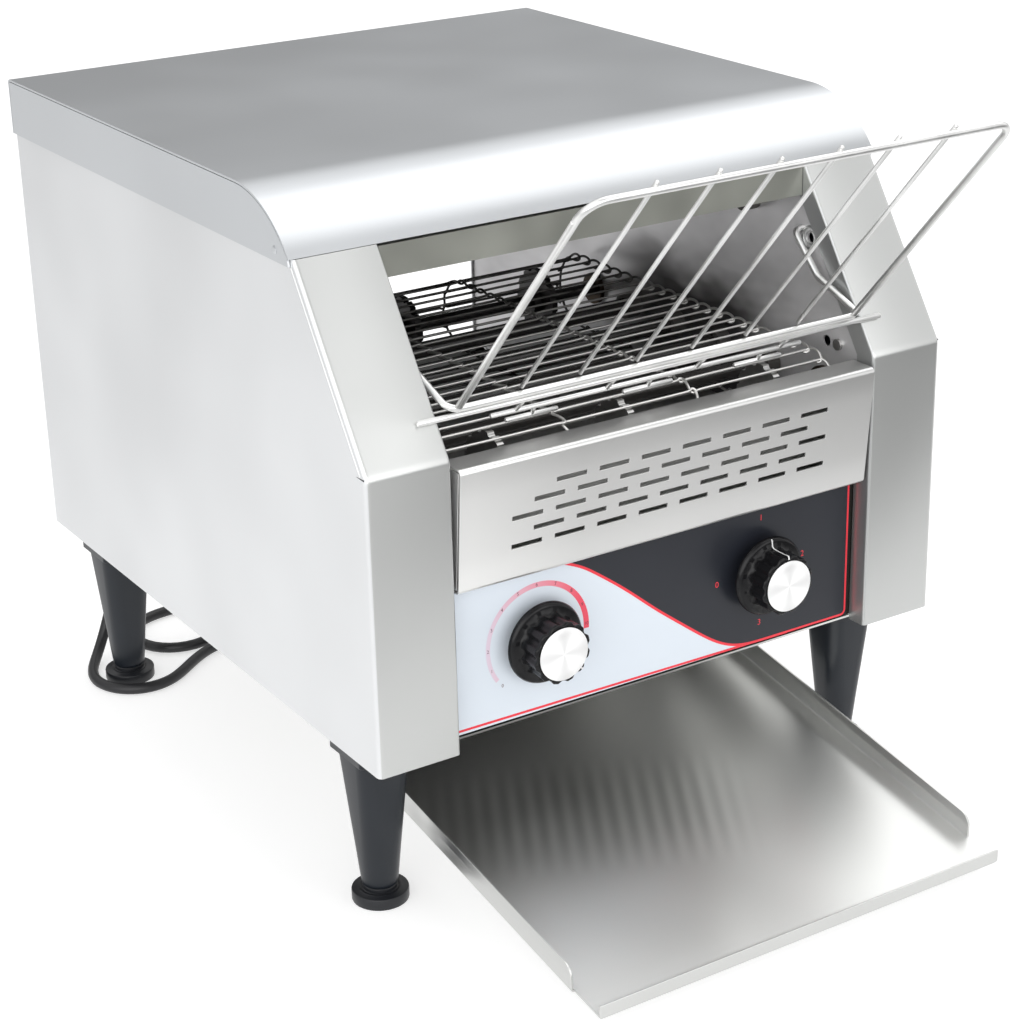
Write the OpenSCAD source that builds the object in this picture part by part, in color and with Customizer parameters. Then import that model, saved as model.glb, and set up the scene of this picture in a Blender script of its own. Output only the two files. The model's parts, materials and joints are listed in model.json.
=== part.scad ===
// Conveyor toaster: a stainless body on four legs, a wire belt between two shafts,
// a swing-up feed rack, a sloping toast tray and a control panel with two knobs.
// Body coordinates: x to the right, y to the rear from the front face, z up from the
// body's bottom edge. in_body() carries them into the part's own frame.

/* [Body] */
// Width over the two side panels
body_w = 368; // [340:1:400]
// Depth from the front face to the rear skirt
body_d = 425; // [405:1:460]
// Height from the body's bottom edge to the hood top
body_h = 288; // [280:1:300]
// Height of the body above the table
leg_h = 102; // [96:1:120]
// Sheet metal thickness
sheet = 1.2; // [0.8:0.1:1.5]
// Gap left between seated pieces
gap = 0.3; // [0.2:0.05:0.4]
// Radial running clearance of shafts in bores
run_fit = 0.05; // [0.02:0.01:0.08]

/* [Front] */
// Width of each front pillar face
pillar_w = 48.5; // [44:0.5:54]
// Height where the pillar face starts to lean back
knee_z = 163; // [155:1:170]
// Lean of the upper pillar face from vertical
lean = 33.8; // [31:0.1:36]
// Depth of the pillar's return flange
return_d = 13; // [11:0.5:14]
// Height of the vent panel's bottom edge
vent_z = 90; // [86:1:96]
// Height of the vent panel's top edge
vent_top = 157; // [152:1:160]

/* [Belt] */
// Room beside the belt, to the chamber wall
belt_room = 12; // [11:0.5:18]
// Distance between belt wires
pitch = 11.43; // [11:0.01:11.6]
// Belt wire radius
wire_r = 0.8; // [0.7:0.1:1.3]
// Pitches along each straight run
run_pitches = 20; // [19:1:20]
// Sprocket teeth, one per wire pitch
teeth = 12; // [11:1:12]
// Shaft radius
shaft_r = 4; // [3:0.5:5]

/* [Tray] */
// How far the tray's lip stands in front of the body
tray_reach = 121; // [100:1:140]
// Room beside the tray, to the pillar's inner edge
tray_room = 2; // [1.5:0.5:8]
// Height of the tray wall
tray_wall = 14.5; // [10:0.5:18]
// Rise of the tray floor for each millimetre to the rear
tray_slope = 0.161; // [0.12:0.001:0.18]

/* [Feed rack] */
// Room beside the rack's arms, to the chamber wall
arm_room = 6; // [5:0.5:10]
// Reach of the rack's top rail in front of the face
rack_reach = 107; // [90:1:115]
// Height of the rack's top rail
rack_top = 314; // [300:1:325]
// Radius of the rack's frame rods
frame_r = 1.9; // [1.6:0.1:3]
// Radius of the rack's inner bars
bar_r = 1.2; // [1:0.1:2]

/* [Knobs] */
// Knob skirt radius
knob_skirt_r = 23; // [20:0.5:25]
// Knob grip radius
knob_grip_r = 17; // [14:0.5:18]
// Height of the knob axes
knob_z = 47; // [44:0.5:50]
// Distance of the colour knob to the left
colour_x = 79; // [72:1:84]
// Distance of the selector knob to the right
selector_x = 69.5; // [62:0.5:76]

/* [Cord] */
// Cord radius
cord_r = 3.5; // [3:0.1:4]
// Radius of the middle of the coil's turns
coil_mean_r = 40; // [36:1:42]

/* [Hidden] */
$fn = 32;

total_d = body_d + tray_reach;
half_w = body_w / 2;
inner_half = half_w - sheet;
inner_edge = half_w - pillar_w;

// Hood: its front is an arc that ends where the leaning face meets it
hood_r = 68;
hood_fall = 29;
hood_z = body_h - hood_r;
hood_edge_z = body_h - hood_fall;
hood_y = front_at(hood_edge_z, 0) + sqrt(pow(hood_r, 2) - pow(hood_r - hood_fall, 2));
skirt_h = 33;
hood_half = half_w + gap + sheet;

wall_x = inner_edge + sheet + gap;
wall_top = body_h - 38;
wall_front = 2;
panel_rear = body_d - sheet - 2 * gap;
panel_in = panel_rear - sheet;
panel_y = return_d + 0.4;
panel_back = panel_y + sheet;
deck_y = panel_back + gap;
deck_z = 100;
deck_rear = 291;

vent_half = inner_edge - 2.5;
vent_out_top = -3.3;
vent_out_low = 2.6;
slot_w = 18.5;
slot_h = 2.5;
slot_dx = 26.4;
slot_dz = 8;
slot_z = 108.5;
slot_rows = 5;

belt_half = wall_x - belt_room;
sprocket_pitch_r = pitch * teeth / (2 * PI);
belt_z = 136;
front_y = 42.5;
rear_y = front_y + run_pitches * pitch;
belt_wires = 2 * run_pitches + teeth;
belt_columns = [-belt_half, -48, 36, belt_half];
sprocket_x = [-88, -6, 92];
sprocket_r = sprocket_pitch_r - wire_r - 0.7;
hub_r = 8;
bush_r = 7;
bush_flange_r = 10;
bush_out = wall_x + sheet + 3;
shaft_past = 2;

// Chain drive in the right-hand compartment
chain_x = wall_x + 16;
chain_w = 4;
chain_r = 14;
motor_y = 120;
motor_z = 60;

heater_r = 5;
holder_r = 8;
holder_in = wall_x - 9;
holder_socket = 4.5;
heater_in_holder = 4;
reflector_z = body_h - 46;
upper_heater_z = reflector_z - 11;
upper_heater_y = [110, 150, 190, 230];
lower_heater_y = [90, 136, 182, 228];

fan_x = -70;
fan_y = 150;
fan_size = 80;
fan_h = 25;
fan_bore_r = 38;
fan_hub_r = 16;

// Feed rack, side view points
pivot_y = 66;
pivot_z = wall_top - 29;
arm_half = wall_x - arm_room;
rack_half = arm_half - 5;
rail_y = 8;
rail_z = knee_z + 23;
elbow_y = pivot_y - 22;
elbow_z = pivot_z - 22;
rest_r = 1.6;
rest_half = inner_edge + 12.5;
guide_y = rail_y + 12;
guide_z = rail_z - 13;

// Tray and its hangers
tray_rear = 230;
tray_z = -leg_h + 5;
lip_h = 9;
ear_from = 150;
ear_to = 225;
tray_half = inner_edge - tray_room;
ear_x = tray_half + 12.5;
ear_z = -24;
hanger_from = 82;
hanger_to = 232;
hanger_x = ear_x + 1.5;

chute_from = 222;
chute_half = wall_x - 7;
chute_wide = wall_x - 0.6;
chute_step = deck_rear + sheet + 0.8;

leg_x = half_w - 24.4;
leg_front = 50.5;
leg_rear = body_d - 43;
leg_collar = 35.4;
leg_collar_h = 11.5;
leg_top = 31.8;
leg_low_r = 10;
leg_bottom = 10 - leg_h;
stud_r = 4;
stud_l = 34;
foot_r = 15.8;
foot_rim = 6.4;
foot_edge = 0.6;
foot_neck_r = 9.5;

spindle_r = 3;
spindle_end = 25;
skirt_back = return_d - 7;
skirt_front = skirt_back - 3.4;
grip_front = -12;
cap_r = 14.8;

gland_x = -150;
gland_y = 413.5;
gland_flange_r = 8;
gland_thread_r = 5.5;
gland_drop = 14;
table = -leg_h;
cord_z = table + cord_r;
coil_x = 55;
coil_y = 405;
coil_w = 4 * cord_r;
coil_h = 3.75 * cord_r;
plug_lead_z = 11;

// The free cord's route by hand, from the gland to the coil, in body coordinates
cord_route = [
    [-150, 413.5, -12], [-150, 414, -27], [-150, 417, -43], [-151, 421, -60],
    [-155.5, 423, -77], [-163, 419, -91], [-172.5, 409, -98], [-180.5, 396, cord_z],
    [-184.5, 381, cord_z], [-180.5, 366, cord_z], [-170, 355, cord_z], [-155, 351, cord_z],
    [-140, 355, cord_z], [-126, 366, cord_z], [-112, 377, cord_z], [-95, 385.5, cord_z],
    [-76, 387, cord_z], [-54, 384, cord_z], [-32, 382.5, cord_z], [-9, 391, cord_z],
    [3, 412, cord_z], [-4, 437, cord_z], [-29, 448, cord_z], [-52, 439, cord_z],
    [-68, 420, cord_z], [-84, 401, cord_z], [-107, 391, cord_z], [-130, 400, cord_z],
    [-139, 423, cord_z], [-130, 446, cord_z], [-108, 455, cord_z], [-82, 454, cord_z],
    [-55, 461, cord_z], [-28, 471.5, cord_z], [0, 468, cord_z], [24, 457, cord_z],
    [46, 448, cord_z]
];

steel = [0.75, 0.76, 0.78];
dark_steel = [0.42, 0.42, 0.40];
black = [0.12, 0.12, 0.13];
chrome = [0.88, 0.88, 0.9];
ceramic = [0.93, 0.91, 0.86];

// ---------- placing and side-view helpers ----------

module in_body() {
    translate([0, tray_reach - total_d / 2, leg_h]) children();
}

// Extrudes a (y, z) outline along x from x0 to x1
module across(x0, x1) {
    translate([x0, 0, 0]) rotate([90, 0, 90]) linear_extrude(x1 - x0) children();
}

module both_sides() {
    children();
    mirror([1, 0, 0]) children();
}

// A solid cylinder along x from x0 to x1, centred on (y, z)
module rod_x(x0, x1, y, z, r) {
    translate([x0, y, z]) rotate([0, 90, 0]) cylinder(h = x1 - x0, r = r);
}

// A round rod between two points
module rod(a, b, r) {
    d = b - a;
    flat = norm([d[0], d[1]]);
    translate(a) rotate([0, atan2(flat, d[2]), atan2(d[1], d[0])])
        cylinder(h = norm(d), r = r);
}

// A rod bent from one unit direction to another, a little thicker than the rods that run into it
module rod_bend(start, from, to, bend_r, r) {
    turn = acos(from * to);
    inward = (to - cos(turn) * from) / sin(turn);
    upright = cross(from, inward);
    centre = start + bend_r * inward;
    multmatrix([for (i = [0:2]) [-inward[i], from[i], upright[i], centre[i]]])
        rotate_extrude(angle = turn) translate([bend_r, 0]) circle(r = r * 1.03);
}

// A rod through several points, bent to a radius at each one between its ends
module bent_rod(points, radii, r) {
    last = len(points) - 1;
    lap = 0.5;
    dirs = [for (i = [0:last - 1]) (points[i + 1] - points[i]) / norm(points[i + 1] - points[i])];
    cuts = [for (i = [0:last]) i == 0 || i == last ? 0
        : radii[i - 1] * tan(acos(dirs[i - 1] * dirs[i]) / 2)];
    for (i = [0:last - 1]) {
        from = points[i] + (i == 0 ? 0 : cuts[i] - lap) * dirs[i];
        to = points[i + 1] - (i == last - 1 ? 0 : cuts[i + 1] - lap) * dirs[i];
        rod(from, to, r);
    }
    for (i = [1:last - 1])
        rod_bend(points[i] - cuts[i] * dirs[i - 1], dirs[i - 1], dirs[i], radii[i - 1], r);
}

// y of the front outline at height z, set inwards by d
function front_at(z, d) =
    z <= knee_z - d * tan(lean / 2) ? d : (z - knee_z) * tan(lean) + d / cos(lean);

module front_strip(d, top) {
    polygon([
        [0, 0], [0, knee_z], [front_at(top, 0), top], [front_at(top, d), top],
        [d, knee_z - d * tan(lean / 2)], [d, 0]
    ]);
}

// The hood's side outline from z = low up, set inwards
module hood_outline(low, inset) {
    intersection() {
        translate([hood_y, hood_z]) circle(r = hood_r - inset, $fn = 96);
        translate([0, low]) square([hood_y, body_h]);
    }
    translate([hood_y, low]) square([body_d - inset - hood_y, body_h - inset - low]);
}

// ---------- sheet metal ----------

module side_panel() {
    across(inner_half, half_w) {
        polygon([
            [0, 0], [0, knee_z], [front_at(hood_edge_z - gap, 0), hood_edge_z - gap],
            [panel_rear, hood_edge_z - gap], [panel_rear, 0]
        ]);
        intersection() {
            hood_outline(hood_edge_z - sheet, sheet + gap);
            square([panel_rear, body_h]);
        }
    }
    across(inner_edge, inner_half) front_strip(sheet, hood_edge_z - gap);
    across(inner_edge, inner_edge + sheet) front_strip(return_d, hood_edge_z - gap);
}

module side_panel_right() {
    color(steel) in_body() side_panel();
}

module side_panel_left() {
    color(steel) in_body() mirror([1, 0, 0]) side_panel();
}

rivet_r = 2.2;
rivet_h = 0.5;
rivet_places = [
    [hood_y - 41, hood_edge_z + 2], [body_d - 185, hood_edge_z + 3],
    [body_d - 25, hood_edge_z + 3]
];

module hood() {
    skirt_low = body_h - skirt_h;
    color(steel) in_body() {
        across(-hood_half, hood_half) difference() {
            hood_outline(hood_edge_z, 0);
            hood_outline(0, sheet);
        }
        across(-hood_half, hood_half)
            translate([body_d - sheet, skirt_low]) square([sheet, skirt_h - sheet / 2]);
        both_sides() across(hood_half - sheet, hood_half) hood_outline(skirt_low, 0);
        both_sides() for (p = rivet_places)
            rod_x(hood_half, hood_half + rivet_h, p[0], p[1], rivet_r);
    }
}

module front_baffle() {
    high = hood_edge_z - 1.5;
    low = high - 17;
    y = front_at(hood_edge_z, 0) + gap;
    shelf = 24;
    half = inner_edge - gap;
    color(dark_steel) in_body() {
        across(-half, half) translate([y, low]) square([sheet, high - low]);
        across(-half, half) translate([y, high - sheet]) square([shelf, sheet]);
    }
}

module vent_slots() {
    for (row = [0:slot_rows - 1]) {
        even = row % 2 == 0;
        first = row == slot_rows - 1 ? 1 : 0;
        count = even ? 8 : 7;
        for (i = [first:count - 1])
            translate([(i - (count - 1) / 2) * slot_dx, 0, slot_z + row * slot_dz])
                cube([slot_w, 12, slot_h], center = true);
    }
}

module vent_panel() {
    back = return_d - gap;
    lean_in = (vent_out_low - vent_out_top) / (vent_top - vent_z) * sheet;
    color(steel) in_body() {
        difference() {
            across(-vent_half, vent_half) polygon([
                [back + 1, vent_top], [vent_out_top, vent_top], [vent_out_low, vent_z],
                [back, vent_z], [back, vent_z + sheet],
                [vent_out_low + sheet - lean_in, vent_z + sheet],
                [vent_out_top + sheet + lean_in, vent_top - sheet],
                [back + 1, vent_top - sheet]
            ]);
            vent_slots();
        }
        both_sides() across(vent_half - sheet, vent_half) polygon([
            [vent_out_top, vent_top], [vent_out_low, vent_z], [back, vent_z],
            [back, vent_top]
        ]);
    }
}

bushing_hole_r = 4.8;

module knob_places() {
    for (x = [-colour_x, selector_x]) translate([x, 0, knob_z]) children();
}

panel_low = 3;

module control_panel() {
    half = wall_x - gap;
    color(dark_steel) in_body() difference() {
        across(-half, half) translate([panel_y, panel_low])
            square([sheet, deck_z - gap - panel_low]);
        knob_places() rotate([-90, 0, 0]) cylinder(h = 4 * return_d, r = bushing_hole_r);
    }
}

module panel_overlay() {
    low = panel_low + 0.5;
    high = vent_z + 2;
    color([0.2, 0.21, 0.24]) in_body() difference() {
        across(-vent_half, vent_half) translate([return_d, low])
            square([panel_y - return_d, high - low]);
        knob_places() rotate([-90, 0, 0]) cylinder(h = 4 * return_d, r = bushing_hole_r);
    }
}

module bottom_plate() {
    half = inner_half - gap;
    notch = wall_x - gap;
    rear = panel_in - gap;
    color(dark_steel) in_body() difference() {
        translate([-half, deck_y, 0]) cube([2 * half, rear - deck_y, sheet]);
        translate([-notch, chute_step, -1]) cube([2 * notch, body_d, 4]);
        translate([fan_x, fan_y, -1]) cylinder(h = 4, r = fan_bore_r - 2, $fn = 64);
        translate([gland_x, gland_y, -1]) cylinder(h = 4, r = gland_thread_r + gap);
    }
}

opening_half = wall_x - 1.5;
opening_low = 64;
opening_high = 145;

module rear_panel() {
    louvres = 6;
    louvre_w = 26;
    louvre_h = 3.5;
    louvre_x = wall_x + 9;
    half = inner_half - gap;
    low = sheet + gap;
    front = panel_in;
    color(dark_steel) in_body() difference() {
        translate([-half, front, low]) cube([2 * half, sheet, body_h - sheet - 2 * gap - low]);
        translate([-opening_half, front - 1, opening_low])
            cube([2 * opening_half, 4, opening_high - opening_low]);
        both_sides() for (i = [0:louvres - 1])
            translate([louvre_x, front - 1, 60 + i * 12]) cube([louvre_w, 4, louvre_h]);
    }
}

side_hole_y = 41.7;
side_hole_z = 161;

module chamber_wall() {
    low = sheet + gap;
    rear = panel_in - gap;
    across(wall_x, wall_x + sheet) polygon([
        [deck_y, low], [deck_y, 90], [wall_front, 90],
        [wall_front, knee_z - wall_front * tan(lean / 2)],
        [front_at(wall_top, wall_front), wall_top], [rear, wall_top], [rear, low]
    ]);
}

module wall_hole(y, z, r) {
    rod_x(wall_x - 5, wall_x + 8, y, z, r);
}

module chamber_wall_holes() {
    for (y = [front_y, rear_y]) wall_hole(y, belt_z, bush_r + gap);
    wall_hole(pivot_y, pivot_z, frame_r + run_fit);
    wall_hole(side_hole_y, side_hole_z, 3.2);
    wall_hole(pivot_y - 8, pivot_z - 4, 2.8);
}

module chamber_wall_right() {
    color(steel) in_body() difference() {
        chamber_wall();
        chamber_wall_holes();
        wall_hole(motor_y, motor_z, 6.5);
    }
}

module chamber_wall_left() {
    color(steel) in_body() mirror([1, 0, 0]) difference() {
        chamber_wall();
        chamber_wall_holes();
    }
}

module upper_reflector() {
    half = wall_x - gap;
    y0 = 92;
    y1 = 300;
    tail_run = 24;
    tail_fall = 50;
    tail_y = y1 + tail_run;
    tail_z = reflector_z - tail_fall;
    color(steel) in_body() across(-half, half) polygon([
        [y0, reflector_z], [y1, reflector_z], [tail_y, tail_z],
        [tail_y - sheet, tail_z], [y1 - sheet, reflector_z - sheet],
        [y0, reflector_z - sheet]
    ]);
}

// The deck divides the oven from the electrics below and closes them off at the rear
module deck() {
    half = wall_x - gap;
    shield_top = 150;
    low = sheet + gap;
    color(steel) in_body() {
        across(-half, half) {
            translate([deck_y, deck_z]) square([deck_rear - deck_y, sheet]);
            translate([deck_y, deck_z]) square([sheet, shield_top - deck_z]);
            translate([deck_rear, low]) square([sheet, deck_z + sheet - low]);
        }
    }
}

// ---------- heaters ----------

module heater_tubes(places, z) {
    for (y = places) rod_x(-holder_in - heater_in_holder, holder_in + heater_in_holder, y, z, heater_r);
}

module upper_heaters() {
    color([0.95, 0.8, 0.7]) in_body() heater_tubes(upper_heater_y, upper_heater_z);
}

module lower_heaters() {
    color([0.95, 0.8, 0.7]) in_body() heater_tubes(lower_heater_y, belt_z);
}

module holder_row(places, z) {
    for (y = places) difference() {
        rod_x(holder_in, wall_x - gap, y, z, holder_r);
        rod_x(holder_in - 1, holder_in + holder_socket, y, z, heater_r + gap);
    }
}

module heater_holders() {
    color(ceramic) in_body() both_sides() {
        holder_row(upper_heater_y, upper_heater_z);
        holder_row(lower_heater_y, belt_z);
    }
}

// ---------- conveyor ----------

// (y, z) of the belt's wire number i, counted from the front of the upper run
function belt_point(i) =
    i <= run_pitches ? [front_y + i * pitch, belt_z + sprocket_pitch_r]
    : i <= run_pitches + teeth / 2
        ? belt_turn(rear_y, 90 - (i - run_pitches) * 360 / teeth)
    : i <= 2 * run_pitches + teeth / 2
        ? [rear_y - (i - run_pitches - teeth / 2) * pitch, belt_z - sprocket_pitch_r]
    : belt_turn(front_y, -90 - (i - 2 * run_pitches - teeth / 2) * 360 / teeth);

function belt_turn(y, angle) =
    [y + sprocket_pitch_r * cos(angle), belt_z + sprocket_pitch_r * sin(angle)];

module belt_wire(i) {
    p = belt_point(i);
    rod_x(-belt_half, belt_half, p[0], p[1], wire_r);
}

// The short hooks that join wire i to the next one, or stop just short of it
module belt_hooks(i, short) {
    a = belt_point(i);
    next = belt_point((i + 1) % belt_wires);
    b = next - (next - a) / norm(next - a) * short;
    for (c = [0:len(belt_columns) - 1]) {
        edge = c == 0 || c == len(belt_columns) - 1;
        if (edge || (c + i) % 2 == 0) {
            x = belt_columns[c] - sign(belt_columns[c]) * (edge ? wire_r : 0);
            rod([x, a[0], a[1]], [x, b[0], b[1]], wire_r * 0.9);
        }
    }
}

module belt_part(first, last) {
    color(chrome) in_body() {
        for (i = [first:last]) belt_wire(i);
        for (i = [first:last - 1]) belt_hooks(i, 0);
        belt_hooks(last, wire_r + 0.1);
    }
}

rear_last = run_pitches + floor(teeth / 2);
low_last = rear_last + run_pitches;

module belt_upper_run() {
    belt_part(0, run_pitches);
}

module belt_rear_turn() {
    belt_part(run_pitches + 1, rear_last);
}

module belt_lower_run() {
    belt_part(rear_last + 1, low_last);
}

module belt_front_turn() {
    belt_part(low_last + 1, belt_wires - 1);
}

module belt_sprockets(y) {
    for (x = sprocket_x) difference() {
        union() {
            rod_x(x - 2, x + 2, y, belt_z, sprocket_r);
            rod_x(x - 7, x + 7, y, belt_z, hub_r);
        }
        rod_x(x - 8, x + 8, y, belt_z, shaft_r);
        for (k = [0:teeth - 1]) {
            a = (k + 0.5) * 360 / teeth;
            rod_x(x - 3, x + 3, y + (sprocket_r + 0.6) * cos(a),
                belt_z + (sprocket_r + 0.6) * sin(a), 2.4, $fn = 16);
        }
    }
}

module drive_shaft() {
    color(dark_steel) in_body() rod_x(-bush_out - shaft_past, chain_x + 9, front_y, belt_z, shaft_r);
}

module drive_sprockets() {
    color(dark_steel) in_body() belt_sprockets(front_y);
}

module idler_shaft() {
    color(dark_steel) in_body() rod_x(-bush_out - shaft_past, bush_out + shaft_past, rear_y, belt_z, shaft_r);
}

module idler_sprockets() {
    color(dark_steel) in_body() belt_sprockets(rear_y);
}

module shaft_bushes() {
    inner = wall_x - gap;
    color([0.7, 0.55, 0.3]) in_body() both_sides() for (y = [front_y, rear_y]) difference() {
        union() {
            rod_x(inner - 3, inner, y, belt_z, bush_flange_r);
            rod_x(inner - 3, bush_out, y, belt_z, bush_r);
        }
        rod_x(inner - 4, bush_out + 1, y, belt_z, shaft_r + run_fit);
    }
}

module gear_motor() {
    gearbox = 50;
    gearbox_d = 29;
    motor_r = 23;
    motor_l = 57;
    cap_l = 6;
    end_r = 8;
    bore_l = 22;
    back = wall_x - gap;
    motor_end = back - gearbox_d - motor_l;
    color([0.6, 0.6, 0.62]) in_body() difference() {
        union() {
            translate([back - gearbox_d, motor_y - gearbox / 2, motor_z - gearbox / 2])
                cube([gearbox_d, gearbox, gearbox]);
            rod_x(motor_end, back - gearbox_d, motor_y, motor_z, motor_r);
            rod_x(motor_end - cap_l, motor_end, motor_y, motor_z, end_r);
        }
        rod_x(back - bore_l, back + 1, motor_y, motor_z, shaft_r + run_fit);
    }
}

// A small chain wheel with shallow gaps between its teeth
module chain_wheel(y, z) {
    wheel_r = chain_r - 1.8;
    wheel_teeth = 12;
    difference() {
        union() {
            rod_x(chain_x - 1.2, chain_x + 1.2, y, z, wheel_r);
            rod_x(chain_x + 1, chain_x + 8, y, z, 7.5);
        }
        for (k = [0:wheel_teeth - 1])
            rod_x(chain_x - 2, chain_x + 2, y + wheel_r * cos(k * 360 / wheel_teeth),
                z + wheel_r * sin(k * 360 / wheel_teeth), 1.4, $fn = 16);
        rod_x(chain_x - 2, chain_x + 9, y, z, shaft_r);
    }
}

module motor_sprocket() {
    color(dark_steel) in_body() {
        chain_wheel(motor_y, motor_z);
        rod_x(wall_x - 20, chain_x + 9, motor_y, motor_z, shaft_r);
    }
}

module shaft_sprocket() {
    color(dark_steel) in_body() chain_wheel(front_y, belt_z);
}

// The chain as a closed band: two half rings and two straight runs
module drive_chain() {
    span = [motor_y - front_y, motor_z - belt_z];
    length = norm(span);
    inner = chain_r - 1.3;
    outer = chain_r + 2.4;
    color(black) in_body() translate([chain_x - chain_w / 2, front_y, belt_z])
        rotate([90, 0, 90]) rotate([0, 0, atan2(span[1], span[0])]) {
            for (end = [0, 1]) translate([end * length, 0, 0]) difference() {
                cylinder(h = chain_w, r = outer);
                translate([0, 0, -1]) cylinder(h = chain_w + 2, r = inner);
                translate([end == 0 ? 0 : -outer - 1, -outer - 1, -1])
                    cube([outer + 1, 2 * outer + 2, chain_w + 2]);
            }
            for (s = [-1, 1]) translate([0, s > 0 ? inner : -outer, 0])
                cube([length, outer - inner, chain_w]);
        }
}

// ---------- electrics below the deck ----------

fan_low = sheet + gap;
fan_pin_r = 2;

module fan_frame() {
    color(black) in_body() translate([fan_x, fan_y, fan_low]) {
        difference() {
            translate([-fan_size / 2, -fan_size / 2, 0]) cube([fan_size, fan_size, fan_h]);
            translate([0, 0, -1]) cylinder(h = fan_h + 2, r = fan_bore_r, $fn = 64);
            for (x = [-35.7, 35.7], y = [-35.7, 35.7]) translate([x, y, -1])
                cylinder(h = fan_h + 2, r = 2.1);
        }
        difference() {
            for (a = [45, 135]) rotate([0, 0, a])
                translate([-fan_bore_r - 1, -2, 0]) cube([2 * fan_bore_r + 2, 4, 2.5]);
            cylinder(h = 10, r = 5, center = true);
        }
        cylinder(h = 2.5, r = fan_hub_r);
        cylinder(h = 18, r = fan_pin_r);
    }
}

module fan_impeller() {
    blades = 7;
    blade_t = 1.6;
    blade_w = 20;
    low = 3.5;
    high = fan_h - 3;
    blade_l = fan_bore_r - fan_hub_r - 1;
    color([0.2, 0.2, 0.22]) in_body() translate([fan_x, fan_y, fan_low]) difference() {
        union() {
            translate([0, 0, low]) cylinder(h = high - low, r = fan_hub_r);
            for (k = [0:blades - 1]) rotate([0, 0, k * 360 / blades])
                translate([fan_hub_r - 1, 0, (low + high) / 2]) rotate([38, 0, 0])
                    translate([0, -blade_w / 2, -blade_t / 2])
                        cube([blade_l, blade_w, blade_t]);
        }
        translate([0, 0, low - 1]) cylinder(h = 17, r = fan_pin_r + run_fit);
    }
}

// The body behind the panel, its bushing through it and the nut on its face
module rotary_body(x, w, depth) {
    bush_front = return_d - 4;
    bore_end = panel_back + depth - 3;
    nut_h = 2.2;
    nut_r = 8;
    translate([x, 0, knob_z]) rotate([-90, 0, 0]) difference() {
        union() {
            translate([0, 0, panel_back]) {
                if (w == 0) cylinder(h = depth, r = 12);
                else translate([-w / 2, -w / 2, 0]) cube([w, w, depth]);
            }
            translate([0, 0, bush_front])
                cylinder(h = panel_back + 2 - bush_front, r = bushing_hole_r - gap);
            translate([0, 0, return_d - gap - nut_h]) cylinder(h = nut_h, r = nut_r, $fn = 6);
        }
        translate([0, 0, bush_front - 1])
            cylinder(h = bore_end - bush_front + 1, r = spindle_r + run_fit);
    }
}

module potentiometer() {
    depth = 14;
    color([0.3, 0.35, 0.4]) in_body() rotary_body(-colour_x, 0, depth);
}

module selector_switch() {
    width = 42;
    depth = 30;
    color([0.85, 0.83, 0.78]) in_body() rotary_body(selector_x, width, depth);
}

module terminal_block() {
    ways = 5;
    way_w = 11;
    depth = 22;
    height = 17;
    screw_r = 2.6;
    color(ceramic) in_body() translate([12 - wall_x, 240, sheet]) difference() {
        cube([ways * way_w, depth, height]);
        for (k = [0:ways - 1]) translate([(k + 0.5) * way_w, depth / 2, height - 8])
            cylinder(h = 10, r = screw_r);
    }
}

// ---------- knobs ----------

module spindle(x) {
    front = grip_front + 4;
    in_body() translate([x, 0, knob_z]) rotate([-90, 0, 0])
        translate([0, 0, front]) cylinder(h = spindle_end - front, r = spindle_r);
}

module colour_spindle() {
    color(steel) spindle(-colour_x);
}

module selector_spindle() {
    color(steel) spindle(selector_x);
}

// The knob's axis is local z, and its front faces -y
module knob(x) {
    flutes = 12;
    in_body() translate([x, 0, knob_z]) rotate([-90, 0, 0]) difference() {
        union() {
            translate([0, 0, skirt_front]) cylinder(h = skirt_back - skirt_front,
                r1 = knob_skirt_r - 1.5, r2 = knob_skirt_r, $fn = 64);
            translate([0, 0, grip_front]) cylinder(h = skirt_front - grip_front + 1,
                r = knob_grip_r, $fn = 64);
        }
        for (k = [0:flutes - 1]) rotate([0, 0, k * 360 / flutes])
            translate([knob_grip_r + 1.8, 0, grip_front - 1])
                cylinder(h = skirt_front - grip_front + 1, r = 3.2, $fn = 24);
        translate([0, 0, grip_front + 4]) cylinder(h = 40, r = spindle_r);
        translate([0, 0, skirt_back - 2]) cylinder(h = 3, r = bushing_hole_r + 1);
    }
}

module knob_cap(x) {
    in_body() translate([x, 0, knob_z]) rotate([-90, 0, 0])
        translate([0, 0, grip_front - 1.2]) cylinder(h = 1.2, r = cap_r, $fn = 64);
}

module colour_knob() {
    color(black) knob(-colour_x);
}

module selector_knob() {
    color(black) knob(selector_x);
}

module colour_knob_cap() {
    color(steel) knob_cap(-colour_x);
}

module selector_knob_cap() {
    color(steel) knob_cap(selector_x);
}

// ---------- legs and feet ----------

module rounded_square(w, h, r) {
    for (x = [-1, 1], y = [-1, 1]) translate([x * (w / 2 - r), y * (w / 2 - r), 0])
        cylinder(h = h, r = r, $fn = 24);
}

module leg(x, y) {
    color([0.2, 0.21, 0.23]) in_body() translate([x, y, 0]) difference() {
        union() {
            hull() {
                translate([0, 0, -leg_collar_h]) rounded_square(leg_top, 0.2, 8);
                translate([0, 0, leg_bottom]) cylinder(h = 0.2, r = leg_low_r, $fn = 24);
            }
            hull() translate([0, 0, -leg_collar_h])
                rounded_square(leg_collar, leg_collar_h, 2.5);
        }
        translate([0, 0, leg_bottom - 1]) cylinder(h = stud_l, r = stud_r + run_fit);
    }
}

module leg_front_left() {
    leg(-leg_x, leg_front);
}

module leg_front_right() {
    leg(leg_x, leg_front);
}

module leg_rear_left() {
    leg(-leg_x, leg_rear);
}

module leg_rear_right() {
    leg(leg_x, leg_rear);
}

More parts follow.
